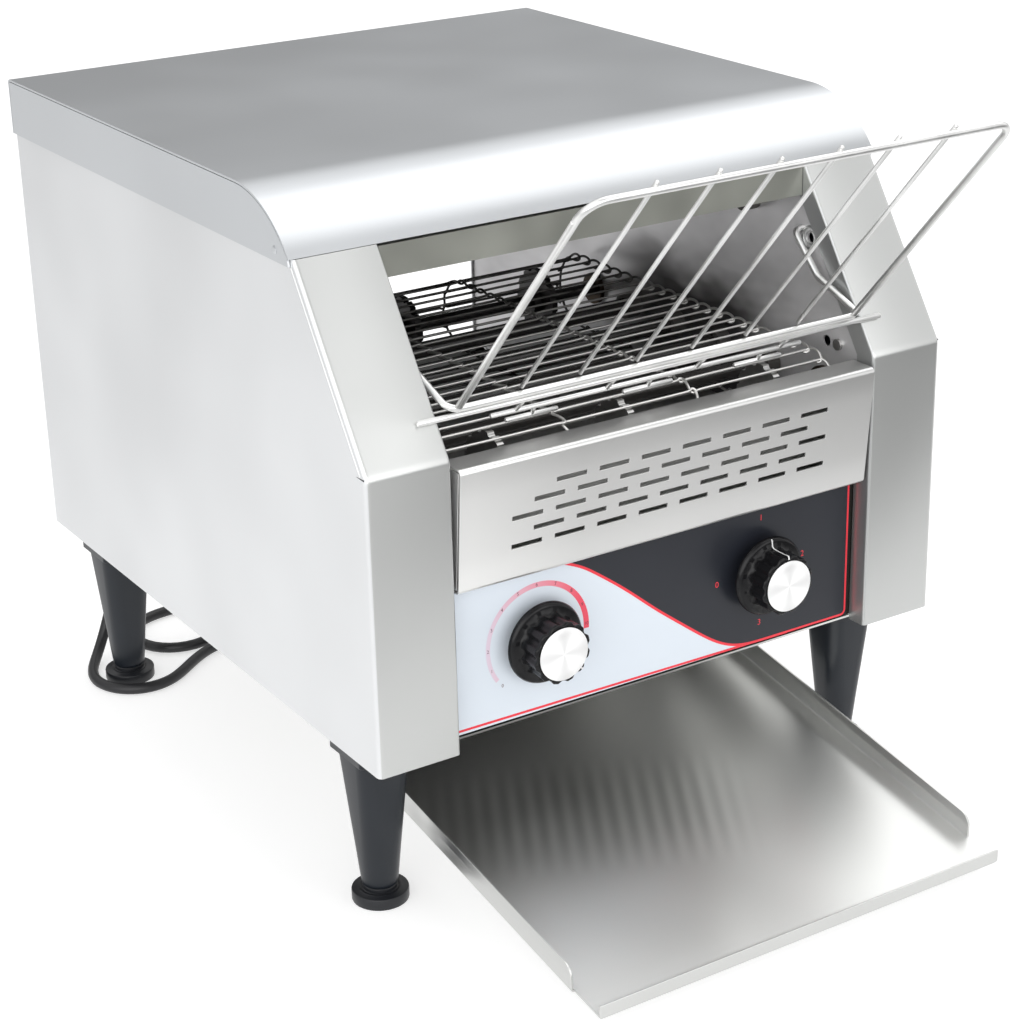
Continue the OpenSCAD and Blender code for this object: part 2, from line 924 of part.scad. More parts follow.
module foot(x, y) {
    neck_top = leg_bottom - gap;
    color(black) in_body() translate([x, y, 0]) {
        translate([0, 0, table]) cylinder(h = foot_rim, r = foot_r, $fn = 48);
        translate([0, 0, table + foot_rim])
            cylinder(h = foot_edge, r1 = foot_r, r2 = foot_r - foot_edge, $fn = 48);
        translate([0, 0, table + 6]) cylinder(h = neck_top - table - 6, r = foot_neck_r);
        translate([0, 0, table + 6]) cylinder(h = stud_l, r = stud_r);
    }
}

module foot_front_left() {
    foot(-leg_x, leg_front);
}

module foot_front_right() {
    foot(leg_x, leg_front);
}

module foot_rear_left() {
    foot(-leg_x, leg_rear);
}

module foot_rear_right() {
    foot(leg_x, leg_rear);
}

// ---------- feed rack ----------

bars = 8;
weld_gap = 0.1;

// (y, z) along the leaning grid, from the bottom rail (0) to the top rail (1)
grid_low = [rail_y, rail_z];
grid_high = [-rack_reach, rack_top];
grid_length = norm(grid_high - grid_low);
grid_along = (grid_high - grid_low) / grid_length;
grid_behind = [grid_along[1], -grid_along[0]];

function in_grid(x, along, behind) =
    let (p = grid_low + along * grid_along + behind * grid_behind) [x, p[0], p[1]];

module rack_grid() {
    corner_r = 12;
    start = frame_r + weld_gap;
    past = 3;
    beside = frame_r + bar_r - 0.4;
    edge = rack_half - beside;
    outer_edge = rack_half + beside;
    color(chrome) in_body() {
        bent_rod([
            in_grid(-rack_half, start, 0), in_grid(-rack_half, grid_length, 0),
            in_grid(rack_half, grid_length, 0), in_grid(rack_half, start, 0)
        ], [corner_r, corner_r], frame_r);
        for (k = [0:bars - 1]) {
            outer = k == 0 || k == bars - 1;
            half = outer ? outer_edge : edge;
            x = half * (2 * k / (bars - 1) - 1);
            rod(in_grid(x, start, outer ? 0 : beside),
                in_grid(x, outer ? grid_length - corner_r - 1.5 : grid_length + past,
                    outer ? 0 : beside), bar_r);
        }
    }
}

// Both arms, the bottom rail and the pivot pins as one bent rod
module rack_arms() {
    elbow_r = 14;
    corner_r = 7;
    pin_r = 5;
    pin_end = wall_x + sheet + 3;
    color(chrome) in_body() bent_rod([
        [-pin_end, pivot_y, pivot_z], [-arm_half, pivot_y, pivot_z],
        [-arm_half, elbow_y, elbow_z], [-arm_half, rail_y, rail_z],
        [arm_half, rail_y, rail_z], [arm_half, elbow_y, elbow_z],
        [arm_half, pivot_y, pivot_z], [pin_end, pivot_y, pivot_z]
    ], [pin_r, elbow_r, corner_r, corner_r, elbow_r, pin_r], frame_r);
}

// The cross rod that rests on both pillars, and the rods that guide bread on to the belt
module rack_guides() {
    stub_out = 85;
    stub_in = 29;
    tab_out = 73;
    stub_x = [-stub_out, -stub_in, stub_in, stub_out];
    stub_r = 1.15;
    guide_r = 1.4;
    tab_r = 1.3;
    tab_x = [-tab_out, 0, tab_out];
    guide_half = 100;
    tab_half = 16;
    tab_back = [0, 3.5, -5.5];
    guide = [0, guide_y, guide_z];
    rest_z = rail_z - 4.2;
    rest_y = front_at(rest_z, 0) - (rest_r + gap - weld_gap) / cos(lean);
    color(chrome) in_body() {
        rod_x(-rest_half, rest_half, rest_y, rest_z, rest_r);
        rod_x(-guide_half, guide_half, guide_y, guide_z, guide_r);
        for (x = stub_x) rod([x, rest_y, rest_z], guide + [x, 0, 0], stub_r);
        for (x = tab_x) {
            tab = guide + tab_back + [x, 0, 0];
            rod(tab - [tab_half, 0, 0], tab + [tab_half, 0, 0], tab_r);
            rod(guide + [x, 0, 0], tab, stub_r);
        }
    }
}

// ---------- toast tray ----------

function floor_at(y) = tray_z + tray_slope * (y + tray_reach);

module toast_tray() {
    wall_from = -97;
    wall_t = 1.2;
    nose_r = 6;
    color(steel) in_body() {
        across(-tray_half, tray_half) polygon([
            [-tray_reach, tray_z], [tray_rear, floor_at(tray_rear)],
            [tray_rear, floor_at(tray_rear) + sheet], [-tray_reach, tray_z + sheet]
        ]);
        across(-tray_half + 1, tray_half - 1)
            translate([-tray_reach, tray_z]) square([sheet, lip_h]);
        both_sides() {
            across(tray_half - wall_t, tray_half) union() {
                polygon([
                    [wall_from, floor_at(wall_from)],
                    [wall_from, floor_at(wall_from) + tray_wall - nose_r],
                    [wall_from + nose_r * 0.3, floor_at(wall_from) + tray_wall - nose_r * 0.3],
                    [wall_from + nose_r, floor_at(wall_from + nose_r) + tray_wall],
                    [tray_rear, floor_at(tray_rear) + tray_wall],
                    [tray_rear, floor_at(tray_rear)]
                ]);
                polygon([
                    [ear_from, floor_at(ear_from)], [ear_from, ear_z], [ear_to, ear_z],
                    [ear_to, floor_at(ear_to)]
                ]);
            }
            translate([tray_half - wall_t, ear_from, ear_z - sheet])
                cube([ear_x - tray_half + wall_t, ear_to - ear_from, sheet]);
        }
    }
}

module tray_hangers() {
    ledge_top = ear_z - sheet - gap;
    ledge_in = tray_half + 4.5;
    foot_out = hanger_x + 15;
    length = hanger_to - hanger_from;
    color(dark_steel) in_body() both_sides() translate([0, hanger_from, 0]) {
        translate([ledge_in, 0, ledge_top - sheet])
            cube([hanger_x + sheet - ledge_in, length, sheet]);
        translate([hanger_x, 0, ledge_top - sheet]) cube([sheet, length, -ledge_top + sheet]);
        translate([hanger_x, 0, -sheet]) cube([foot_out - hanger_x, length, sheet]);
        translate([ledge_in, 0, ledge_top - sheet]) cube([hanger_x - ledge_in + sheet, sheet, 6]);
    }
}

// Guides the falling toast forward on to the tray
module return_chute() {
    low = [chute_from, floor_at(chute_from) + 6];
    bend_y = body_d - 29;
    rear = panel_in - gap - 1;
    side_top = 30;
    line = [
        low, [chute_step, -25.5], [bend_y, -9], [bend_y + 14, 1], [bend_y + 21, 14],
        [rear, opening_low - 2]
    ];
    step = line[1];
    color(steel) in_body() {
        across(-chute_half, chute_half) polygon([
            line[0], step + [1, 0], step + [1, sheet], line[0] + [0, sheet]
        ]);
        across(-chute_wide, chute_wide) polygon([
            step, line[2], line[3], line[4], line[5], line[5] + [-sheet, 0],
            line[4] + [-sheet, 0.4], line[3] + [-sheet, 0.8], line[2] + [-0.4, sheet],
            step + [0, sheet]
        ]);
        both_sides() across(chute_wide - sheet, chute_wide) polygon([
            step, line[2], line[3], line[4], line[5], [chute_step, side_top]
        ]);
    }
}

module body_screws() {
    head_h = 1.6;
    head_r = 3.6;
    wall_head_r = 3.2;
    inset = 14;
    color(steel) in_body() both_sides() {
        for (z = [30, body_h / 2 - 4, body_h - 48])
            translate([half_w - inset, panel_rear, z]) rotate([-90, 0, 0])
                cylinder(h = head_h, r = head_r);
        rod_x(wall_x - 1.8, wall_x, side_hole_y - 10.4, side_hole_z + 0.5, wall_head_r);
    }
}

// ---------- mains cord ----------

// The gland sits under the bottom plate behind the rear left leg and points down
module cord_gland() {
    color(black) in_body() translate([gland_x, gland_y, 0]) difference() {
        union() {
            translate([0, 0, -4]) cylinder(h = 4, r = gland_flange_r, $fn = 6);
            translate([0, 0, -gland_drop]) cylinder(h = gland_drop, r = 6);
            translate([0, 0, -1]) cylinder(h = 9, r = gland_thread_r);
        }
        translate([0, 0, -gland_drop - 1]) cylinder(h = 3, r = cord_r);
    }
}

cord_sides = 10;

// Point of a uniform cubic B-spline between b and c, t from 0 to 1
function between(a, b, c, d, t) = (
    pow(1 - t, 3) * a + (3 * pow(t, 3) - 6 * t * t + 4) * b
    + (1 + 3 * t + 3 * t * t - 3 * pow(t, 3)) * c + pow(t, 3) * d) / 6;

function cord_points() = let (
    last = len(cord_route) - 1,
    before = 2 * cord_route[0] - cord_route[1],
    after = 2 * cord_route[last] - cord_route[last - 1],
    line = concat([before], cord_route, [after])
) [
    for (i = [1:last], t = [0, 0.5])
        between(line[i - 1], line[i], line[i + 1], line[i + 2], t),
    cord_route[last]
];

function unit(v) = v / norm(v);

function tangent(p, i) = unit(p[min(i + 1, len(p) - 1)] - p[max(i - 1, 0)]);

// Carries the first ring's sideways direction along the curve without twist
function carried(p, i, side) =
    i == len(p) ? []
    : let (t = tangent(p, i), n = unit(side - (side * t) * t))
        concat([n], carried(p, i + 1, n));

module cord_tube() {
    p = cord_points();
    side = carried(p, 0, [1, 0, 0]);
    count = len(p);
    rings = [
        for (i = [0:count - 1], k = [0:cord_sides - 1])
            let (a = (k + 0.5) * 360 / cord_sides, up = cross(tangent(p, i), side[i]))
            p[i] + cord_r * (cos(a) * side[i] + sin(a) * up)
    ];
    walls = [
        for (i = [0:count - 2], k = [0:cord_sides - 1])
            let (a = i * cord_sides + k, b = i * cord_sides + (k + 1) % cord_sides)
            each [[a, b, b + cord_sides], [a, b + cord_sides, a + cord_sides]]
    ];
    ends = [
        [for (k = [cord_sides - 1:-1:0]) k],
        [for (k = [0:cord_sides - 1]) (count - 1) * cord_sides + k]
    ];
    color(black) in_body() polyhedron(points = rings, faces = concat(walls, ends));
}

module cord_coil() {
    color(black) in_body() translate([coil_x, coil_y, table])
        rotate_extrude($fn = 64) translate([coil_mean_r - coil_w / 2, 0])
            polygon([
                [0, 0], [coil_w, 0], [coil_w, coil_h / 2], [coil_w * 0.72, coil_h],
                [coil_w * 0.28, coil_h], [0, coil_h / 2]
            ]);
}

// A two-pin plug that lies beside the coil, pins towards the front
module cord_plug() {
    body = [34, 38, 24];
    pin_r = 2.4;
    x = coil_x + coil_mean_r;
    y = coil_y - 6;
    neck = 16;
    color(black) in_body() translate([x, y, table]) {
        translate([-body[0] / 2, -neck - body[1], 0]) cube(body);
        translate([0, -neck - 1, plug_lead_z]) rotate([-90, 0, 0])
            cylinder(h = neck + 1, r = 5);
        for (s = [-9.5, 9.5]) translate([s, -neck - body[1] - 19, body[2] / 2])
            rotate([-90, 0, 0]) cylinder(h = 20, r = pin_r);
    }
}

side_panel_left();
side_panel_right();
hood();
front_baffle();
vent_panel();
control_panel();
panel_overlay();
bottom_plate();
rear_panel();
chamber_wall_left();
chamber_wall_right();
upper_reflector();
deck();
upper_heaters();
lower_heaters();
heater_holders();
belt_upper_run();
belt_lower_run();
belt_front_turn();
belt_rear_turn();
drive_shaft();
drive_sprockets();
idler_shaft();
idler_sprockets();
shaft_bushes();
gear_motor();
motor_sprocket();
drive_chain();
shaft_sprocket();
fan_frame();
fan_impeller();
return_chute();
potentiometer();
selector_switch();
colour_spindle();
selector_spindle();
colour_knob();
colour_knob_cap();
selector_knob();
selector_knob_cap();
terminal_block();
leg_front_left();
leg_front_right();
leg_rear_left();
leg_rear_right();
foot_front_left();
foot_front_right();
foot_rear_left();
foot_rear_right();
rack_grid();
rack_arms();
rack_guides();
toast_tray();
tray_hangers();
body_screws();
cord_gland();
cord_tube();
cord_coil();
cord_plug();
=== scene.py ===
import json
import math

import bmesh
import bpy
from mathutils import Matrix, Vector


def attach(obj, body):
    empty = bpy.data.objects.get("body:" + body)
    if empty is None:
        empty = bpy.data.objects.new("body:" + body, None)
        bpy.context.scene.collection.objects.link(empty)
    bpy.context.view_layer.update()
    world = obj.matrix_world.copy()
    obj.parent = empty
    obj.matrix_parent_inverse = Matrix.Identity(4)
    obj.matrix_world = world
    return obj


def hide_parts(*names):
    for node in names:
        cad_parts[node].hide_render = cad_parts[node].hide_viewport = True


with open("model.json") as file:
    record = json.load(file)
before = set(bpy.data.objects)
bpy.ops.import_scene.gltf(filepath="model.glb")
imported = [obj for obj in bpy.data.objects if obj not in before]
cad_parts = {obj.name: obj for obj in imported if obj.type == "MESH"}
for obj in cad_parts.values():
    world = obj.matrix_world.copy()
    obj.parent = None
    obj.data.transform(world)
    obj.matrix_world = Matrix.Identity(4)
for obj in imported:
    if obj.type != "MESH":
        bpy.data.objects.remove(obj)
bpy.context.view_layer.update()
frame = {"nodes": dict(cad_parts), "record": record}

# ---------- places: body coordinates in millimetres, as part.scad has them ----------

MM = 0.001
SHIFT = Vector((0.0, -152.0, 102.0))
TABLE = -102.0
SHEET = 1.2
KNEE = 163.0
LEAN = math.radians(33.8)
SIDE_X = 184.0
INNER_X = 135.5
WALL_X = 137.0
PANEL_HALF = 133.0
REAR_Y = 425.0
PANEL_REAR = 423.2
HOOD_TOP = 288.0
HOOD_R = 68.0
HOOD_ARC_Y = 120.0
HOOD_EDGE = 259.0
HOOD_LIP_Y = 64.27
SKIRT_LOW = 255.0
HOOD_X = 185.5
KNOB_Z = 47.0
DIAL_X = -79.0
SELECTOR_X = 69.5
TRAY_REACH = 121.0
TRAY_HALF = 133.5
TRAY_Z = -97.0
TRAY_SLOPE = 0.161
BELT_PITCH = 11.43
BELT_TEETH = 12
BELT_RUN = 20
BELT_Z = 136.0
BELT_R = BELT_PITCH * BELT_TEETH / (2 * math.pi)
BELT_FRONT = 42.5
BELT_REAR = BELT_FRONT + BELT_RUN * BELT_PITCH
BELT_HALF = 125.0


def at(p):
    """A place in the scene, in metres, from body coordinates."""
    return (Vector(p) + SHIFT) * MM


def add_object(name, data):
    made = bpy.data.objects.new(name, data)
    bpy.context.scene.collection.objects.link(made)
    return made


def round_angles(count):
    return [k * math.tau / count for k in range(count)]


# ---------- camera ----------

CAMERA_AT = (-685.6, -931.9, 579.7)
FOCAL_PIXELS = 2357.2
PICTURE_PIXELS = 1024
SENSOR = 36.0
azimuth, elevation, roll = (math.radians(a) for a in (32.107, 22.337, -1.357))
forward = Vector((
    math.sin(azimuth) * math.cos(elevation),
    math.cos(azimuth) * math.cos(elevation),
    -math.sin(elevation),
))
level = forward.cross(Vector((0, 0, 1))).normalized()
upward = level.cross(forward)
right = level * math.cos(roll) + upward * math.sin(roll)
up = upward * math.cos(roll) - level * math.sin(roll)

camera = add_object("camera", bpy.data.cameras.new("camera"))
camera.data.sensor_width = SENSOR
camera.data.lens = FOCAL_PIXELS / PICTURE_PIXELS * SENSOR
camera.data.clip_start = 0.05
camera.data.clip_end = 60
turned = Matrix((right, up, -forward)).transposed()
camera.matrix_world = Matrix.Translation(at(CAMERA_AT)) @ turned.to_4x4()
bpy.context.scene.camera = camera
bpy.context.scene.view_settings.view_transform = "Standard"


# ---------- materials ----------

# The smoothest finish that the denoiser still reads as a plain surface
SATIN = 0.285


def new_node(tree, kind, inputs=(), **settings):
    """A shader node with its settings, then its inputs: values, or sockets to link."""
    made = tree.nodes.new(kind)
    for key, value in settings.items():
        setattr(made, key, value)
    for key, value in dict(inputs).items():
        if isinstance(value, bpy.types.NodeSocket):
            tree.links.new(value, made.inputs[key])
        else:
            made.inputs[key].default_value = value
    return made


class Paint:
    """A Principled material with helpers for procedural detail in metres."""

    def __init__(self, name, color, roughness, metallic=0.0, **direct):
        self.material = bpy.data.materials.new(name)
        self.material.use_nodes = True
        self.tree = self.material.node_tree
        self.shader = self.tree.nodes["Principled BSDF"]
        self.color = (*color, 1.0)
        self.put("Base Color", self.color)
        self.put("Roughness", roughness)
        self.put("Metallic", metallic)
        for key, value in direct.items():
            self.put(key.replace("_", " "), value)

    def put(self, socket, value):
        self.shader.inputs[socket].default_value = value

    def node(self, kind, inputs=(), **settings):
        return new_node(self.tree, kind, inputs, **settings)

    def link(self, output, socket):
        self.tree.links.new(output, self.shader.inputs[socket])

    def place(self, stretch=(1, 1, 1)):
        source = self.node("ShaderNodeTexCoord").outputs["Object"]
        return self.node("ShaderNodeMapping", {"Vector": source, "Scale": stretch}).outputs[0]

    def axes(self):
        """The x, y and z of a place on the object, in metres."""
        return list(self.node("ShaderNodeSeparateXYZ", {0: self.place()}).outputs)

    def noise(self, scale, stretch=(1, 1, 1), detail=3.0, rough=0.5):
        return self.node("ShaderNodeTexNoise", {
            "Vector": self.place(stretch), "Scale": scale, "Detail": detail, "Roughness": rough,
        }).outputs["Fac"]

    def spread(self, value, low, high, start=0.3, end=0.7):
        return self.node("ShaderNodeMapRange", {
            "Value": value, "From Min": start, "From Max": end, "To Min": low, "To Max": high,
        }, clamp=True).outputs[0]

    def calc(self, operation, *values):
        made = self.node("ShaderNodeMath", dict(enumerate(values)), operation=operation)
        return made.outputs[0]

    def times(self, a, b):
        return self.calc("MULTIPLY", a, b)

    def plus(self, a, b):
        return self.calc("ADD", a, b)

    def vector(self, operation, inputs):
        return self.node("ShaderNodeVectorMath", inputs, operation=operation).outputs[0]

    def mix(self, factor, a, b):
        inputs = {"Factor": factor, 6: a, 7: b}
        return self.node("ShaderNodeMix", inputs, data_type="RGBA").outputs[2]

    def shade(self, factor):
        """The base colour times a grey factor."""
        return self.vector("SCALE", {0: self.color[:3], "Scale": factor})

    def tint(self, factor):
        self.link(self.shade(factor), "Base Color")

    def bump(self, height, distance):
        inputs = {"Height": height, "Distance": distance, "Strength": 1.0}
        return self.node("ShaderNodeBump", inputs).outputs[0]

    def uneven(self, amount, scale=4.5):
        """The surface normal, tilted a little by broad soft noise, as on hand-folded sheet."""
        wobble = self.node("ShaderNodeTexNoise", {
            "Vector": self.place(), "Scale": scale, "Detail": 1.0,
        }).outputs["Color"]
        centred = self.vector("SUBTRACT", {0: wobble, 1: (0.5, 0.5, 0.5)})
        small = self.vector("SCALE", {0: centred, "Scale": amount})
        facing = self.node("ShaderNodeNewGeometry").outputs["Normal"]
        return self.vector("NORMALIZE", {0: self.vector("ADD", {0: facing, 1: small})})


def steel(name, color, roughness, mottle=0.03, metallic=0.85, patches=9.0):
    """Satin stainless sheet with soft uneven patches."""
    paint = Paint(name, color, roughness, metallic)
    broad = paint.noise(patches, detail=1.0)
    paint.tint(paint.spread(broad, 1 - mottle, 1 + mottle))
    paint.link(paint.spread(broad, roughness, roughness + 0.04), "Roughness")
    paint.link(paint.uneven(0.02), "Normal")
    return paint


def moulded(name, color, roughness, grain_scale=900.0, grain=0.00004, vary=0.12, specular=0.5):
    """Moulded plastic or rubber with a fine skin texture."""
    paint = Paint(name, color, roughness, Specular_IOR_Level=specular)
    fine = paint.noise(grain_scale, detail=2.0)
    broad = paint.noise(25.0)
    paint.tint(paint.spread(broad, 1 - vary, 1 + vary))
    paint.link(paint.spread(broad, roughness - 0.03, roughness + 0.04), "Roughness")
    paint.link(paint.bump(fine, grain), "Normal")
    return paint.material


def printed(name, color, roughness, vary=0.04):
    """Ink on the smooth overlay."""
    return moulded(name, color, roughness, 1500.0, 0.000004, vary)


def plated(name, color, roughness, dirt=(0.25, 0.24, 0.22), dirt_share=0.0, metallic=1.0):
    """Bright wire with a little handling haze, and heat soot where dirt_share is over 0."""
    paint = Paint(name, color, roughness, metallic)
    haze = paint.noise(60.0, detail=3.0)
    paint.link(paint.spread(haze, roughness, roughness + 0.08), "Roughness")
    if dirt_share:
        soot_and_shade = paint.spread(paint.noise(35.0, detail=4.0), 0.0, dirt_share, 0.35, 0.65)
        paint.link(paint.mix(soot_and_shade, paint.color, (*dirt, 1)), "Base Color")
    else:
        paint.tint(paint.spread(haze, 0.92, 1.05))
    paint.link(paint.bump(haze, 0.00005), "Normal")
    return paint.material


def vent_finish():
    """Front steel painted lighter at its left end and darker towards the right: painted light."""
    paint = steel("painted_light_vent_steel", (0.77, 0.77, 0.76), SATIN)
    x, _, _ = paint.axes()
    # painted light: the colour is raised at the left end and lowered towards the right
    left = paint.spread(x, 1.24, 1.0, -0.125, -0.06)
    paint.tint(paint.times(left, paint.spread(x, 1.0, 0.90, 0.0, 0.13)))
    return paint.material


def base_finish():
    """Sheet under the body, its colour painted dark at the left and brighter towards the right:
    painted shade and light that show in the tray's reflections.
    """
    paint = steel("painted_shade_base_steel", (0.74, 0.74, 0.72), SATIN, 0.05, 1.0)
    x, _, _ = paint.axes()
    # painted shade at the left, painted light towards the right
    paint.tint(paint.spread(x, 0.35, 1.2, 0.0, 0.11))
    return paint.material


# Pitch in metres of the painted reflections of the vent slots on the tray
SLOT_REFLECTION_PITCH = 0.010


def tray_finish():
    """Drawn steel with soft stripes of painted reflection of the vent slots, their pitch in metres
    set just above, over the middle of the tray.
    """
    paint = steel("tray_steel", (0.76, 0.765, 0.75), 0.31, 0.04, 1.0)
    facing = paint.node("ShaderNodeNewGeometry").outputs["Normal"]
    paint.link(paint.vector("CROSS_PRODUCT", {0: facing, 1: (1, 0, 0)}), "Tangent")
    paint.put("Anisotropic", 0.8)
    x, y, _ = paint.axes()
    across = paint.plus(paint.times(x, 0.883), paint.times(y, -0.469))
    depth = paint.plus(y, paint.times(x, 0.36))
    # painted reflection: sine stripes for the vent slots, faded out towards the edges of the middle
    slot_reflection = paint.calc("SINE", paint.times(across, math.tau / SLOT_REFLECTION_PITCH))
    for value, low, high, start, end in ((depth, 0.0, 0.15, -0.205, -0.165),
                                         (depth, 1.0, 0.0, -0.130, -0.095),
                                         (across, 0.0, 1.0, -0.09, -0.02),
                                         (across, 1.0, 0.0, 0.085, 0.12)):
        slot_reflection = paint.times(slot_reflection, paint.spread(value, low, high, start, end))
    soft = paint.spread(paint.noise(9.0, detail=1.0), 0.96, 1.04)
    paint.tint(paint.plus(soft, slot_reflection))
    return paint.material


def spun_finish():
    """A bright spun cap with darker rays painted by the angle round its middle: a painted
    reflection.
    """
    paint = Paint("aluminium", (0.97, 0.97, 0.97), 0.34, 0.35)
    generated = paint.node("ShaderNodeTexCoord").outputs["Generated"]
    x, _, z = paint.node("ShaderNodeSeparateXYZ", {0: generated}).outputs
    angle = paint.calc("ARCTAN2", paint.plus(z, -0.5), paint.plus(x, -0.5))
    painted_reflection_rays = paint.calc("COSINE", paint.times(angle, 4.0))
    # painted reflection: four darker rays round the cap's middle
    paint.tint(paint.spread(painted_reflection_rays, 1.0, 0.84, -0.3, 1.0))
    tangent = paint.node("ShaderNodeTangent", direction_type="RADIAL", axis="Y")
    paint.link(tangent.outputs[0], "Tangent")
    paint.put("Anisotropic", 0.6)
    return paint.material


def fading_print():
    """The dial's red, paler towards its start."""
    paint = Paint("print_fading_red", (0.80, 0.09, 0.12), 0.40)
    x, _, _ = paint.axes()
    fade = paint.spread(x, 0.0, 1.0, (DIAL_X - 32) * MM, (DIAL_X + 28) * MM)
    paint.link(paint.mix(fade, (0.70, 0.60, 0.70, 1), (0.82, 0.07, 0.12, 1)), "Base Color")
    return paint.material


def wall_finish():
    """The oven's side: bright steel, near black in a band just above the belt over part of its
    depth.
    """
    paint = Paint("wall_steel", (0.88, 0.87, 0.88), SATIN, 0.55)
    wall_noise = paint.noise(22.0, (1.0, 0.45, 1.0), 3.0, 0.6)
    _, y, z = paint.axes()
    height = paint.plus(z, paint.spread(wall_noise, -0.014, 0.014))
    depth = paint.plus(y, paint.spread(wall_noise, 0.02, -0.02))
    low = paint.spread(height, 1.0, 0.0, 0.258, 0.284)
    behind = paint.spread(depth, 0.0, 1.0, -0.08, -0.02)
    before = paint.spread(depth, 1.0, 0.0, 0.05, 0.11)
    dark_band = paint.times(paint.times(low, 0.92), paint.times(behind, before))
    mottled_colour = paint.shade(paint.spread(wall_noise, 0.74, 1.06))
    paint.link(paint.mix(dark_band, mottled_colour, (0.045, 0.040, 0.040, 1)), "Base Color")
    paint.link(paint.spread(wall_noise, 0.36, SATIN), "Roughness")
    return paint.material


def belt_finish():
    """Bright wire at the front, painted near black further back as painted shade, made uneven by
    noise.
    """
    paint = Paint("belt_wire", (0.84, 0.83, 0.81), SATIN, 0.8)
    _, y, _ = paint.axes()
    behind = paint.spread(y, 0.0, 1.0, -0.06, 0.06)
    # painted shade: the wires darken towards the back, unevenly
    soot_and_shade = paint.times(behind, paint.spread(paint.noise(45.0), 0.75, 1.0))
    paint.link(paint.mix(soot_and_shade, paint.color, (0.045, 0.042, 0.038, 1)), "Base Color")
    paint.link(paint.spread(y, SATIN, 0.38, -0.06, 0.06), "Roughness")
    return paint.material


# Lit and shaded copies of one stainless steel: the side copy is the lighter one, and the front and
# fold copies are darker, as painted shade on faces that look forward or inward.
lit_side_steel = steel("lit_side_steel", (0.84, 0.85, 0.86), 0.38, 0.05).material
# The hood's copy is darker than the sides: painted shade for its grey top.
shaded_hood_steel = steel("shaded_hood_steel", (0.67, 0.69, 0.71), SATIN).material
shaded_front_steel = steel("shaded_front_steel", (0.68, 0.69, 0.68), SATIN).material
painted_light_vent_steel = vent_finish()
dull_steel = steel("dull_steel", (0.36, 0.36, 0.33), 0.42, 0.10).material
painted_shade_base_steel = base_finish()
panel_steel = steel("panel_steel", (0.035, 0.032, 0.028), 0.50, 0.10).material
baffle_steel = steel("baffle_steel", (0.50, 0.51, 0.46), SATIN, 0.18, patches=24.0).material
# The inner folds' copy, darker as painted shade.
shaded_fold_steel = steel("shaded_fold_steel", (0.55, 0.56, 0.56), 0.34).material
tray_steel = tray_finish()
chrome = plated("chrome", (0.93, 0.93, 0.92), SATIN, metallic=0.92)
aluminium = spun_finish()

knob_black = moulded("knob_black", (0.007, 0.007, 0.008), 0.22, 500.0, 0.00001, 0.05, 0.3)
leg_black = moulded("leg_black", (0.008, 0.011, 0.016), 0.32, 900.0, 0.00003, 0.06)
foot_black = moulded("foot_black", (0.010, 0.011, 0.014), 0.36, 900.0, 0.00002, 0.08)
cord_black = moulded("cord_black", (0.013, 0.013, 0.015), 0.40, 700.0, 0.00004, 0.08)
white_line = moulded("white_line", (0.80, 0.80, 0.80), 0.45)
print_light = printed("print_light", (0.66, 0.715, 0.78), 0.34, 0.01)
print_black = printed("print_black", (0.017, 0.019, 0.026), 0.32)
print_red = printed("print_red", (0.80, 0.035, 0.055), 0.40)
print_dark = printed("print_dark", (0.10, 0.02, 0.03), 0.45)

print_fading = fading_print()
wall_steel = wall_finish()
belt_wire = belt_finish()

SLOT_PAINT = {
    "brushed_steel_side": lit_side_steel,
    "brushed_steel_hood": shaded_hood_steel,
    "brushed_steel_front": shaded_front_steel,
    "brushed_steel_tray": tray_steel,
    "dull_steel": dull_steel,
    "oven_steel": steel("oven_steel", (0.60, 0.60, 0.59), 0.38, 0.10).material,
    "printed_overlay": print_black,
    "quartz_tube": moulded("quartz", (0.045, 0.042, 0.040), 0.16, 300.0, 0.00002),
    "ceramic": moulded("ceramic", (0.09, 0.086, 0.08), 0.55),
    "belt_wire": belt_wire,
    "dark_metal": plated("dark_metal", (0.10, 0.097, 0.095), 0.40, (0.03, 0.03, 0.03), 0.5),
    "bronze": plated("bronze", (0.09, 0.065, 0.045), 0.40, (0.03, 0.025, 0.02), 0.7),
    "motor_metal": plated("motor_metal", (0.42, 0.42, 0.43), 0.36, dirt_share=0.2),
    "black_plastic": moulded("black_plastic", (0.020, 0.020, 0.022), 0.45),
    "switch_plastic": moulded("switch_plastic", (0.62, 0.60, 0.54), 0.48),
    "knob_plastic": knob_black,
    "spun_aluminium": aluminium,
    "leg_plastic": leg_black,
    "foot_rubber": foot_black,
    "rack_chrome": chrome,
    "screw_steel": plated("screw_steel", (0.55, 0.55, 0.54), 0.30, dirt_share=0.15),
    "cord_rubber": cord_black,
    "plug_plastic": moulded("plug_plastic", (0.016, 0.016, 0.017), 0.34),
}

node_slot = {part["node"]: part["material_slot"] for part in frame["record"]["subparts"]}

BEVELLED = {
    "front_baffle", "control_panel", "bottom_plate", "rear_panel", "chamber_wall_left",
    "chamber_wall_right", "upper_reflector", "deck", "fan_frame", "terminal_block",
    "gear_motor", "tray_hangers", "return_chute",
}


BEVEL_ANGLE = 40


def add_bevel(obj, width, segments=2):
    bevel = obj.modifiers.new("edge", "BEVEL")
    bevel.width = width * MM
    bevel.segments = segments
    bevel.limit_method = "ANGLE"
    bevel.angle_limit = math.radians(BEVEL_ANGLE)
    bevel.harden_normals = True


NODE_PAINT = {
    "chamber_wall_left": wall_steel,
    "chamber_wall_right": wall_steel,
    "control_panel": panel_steel,
    "bottom_plate": painted_shade_base_steel,
    "tray_hangers": painted_shade_base_steel,
    "front_baffle": baffle_steel,
    "drive_sprockets": SLOT_PAINT["screw_steel"],
}

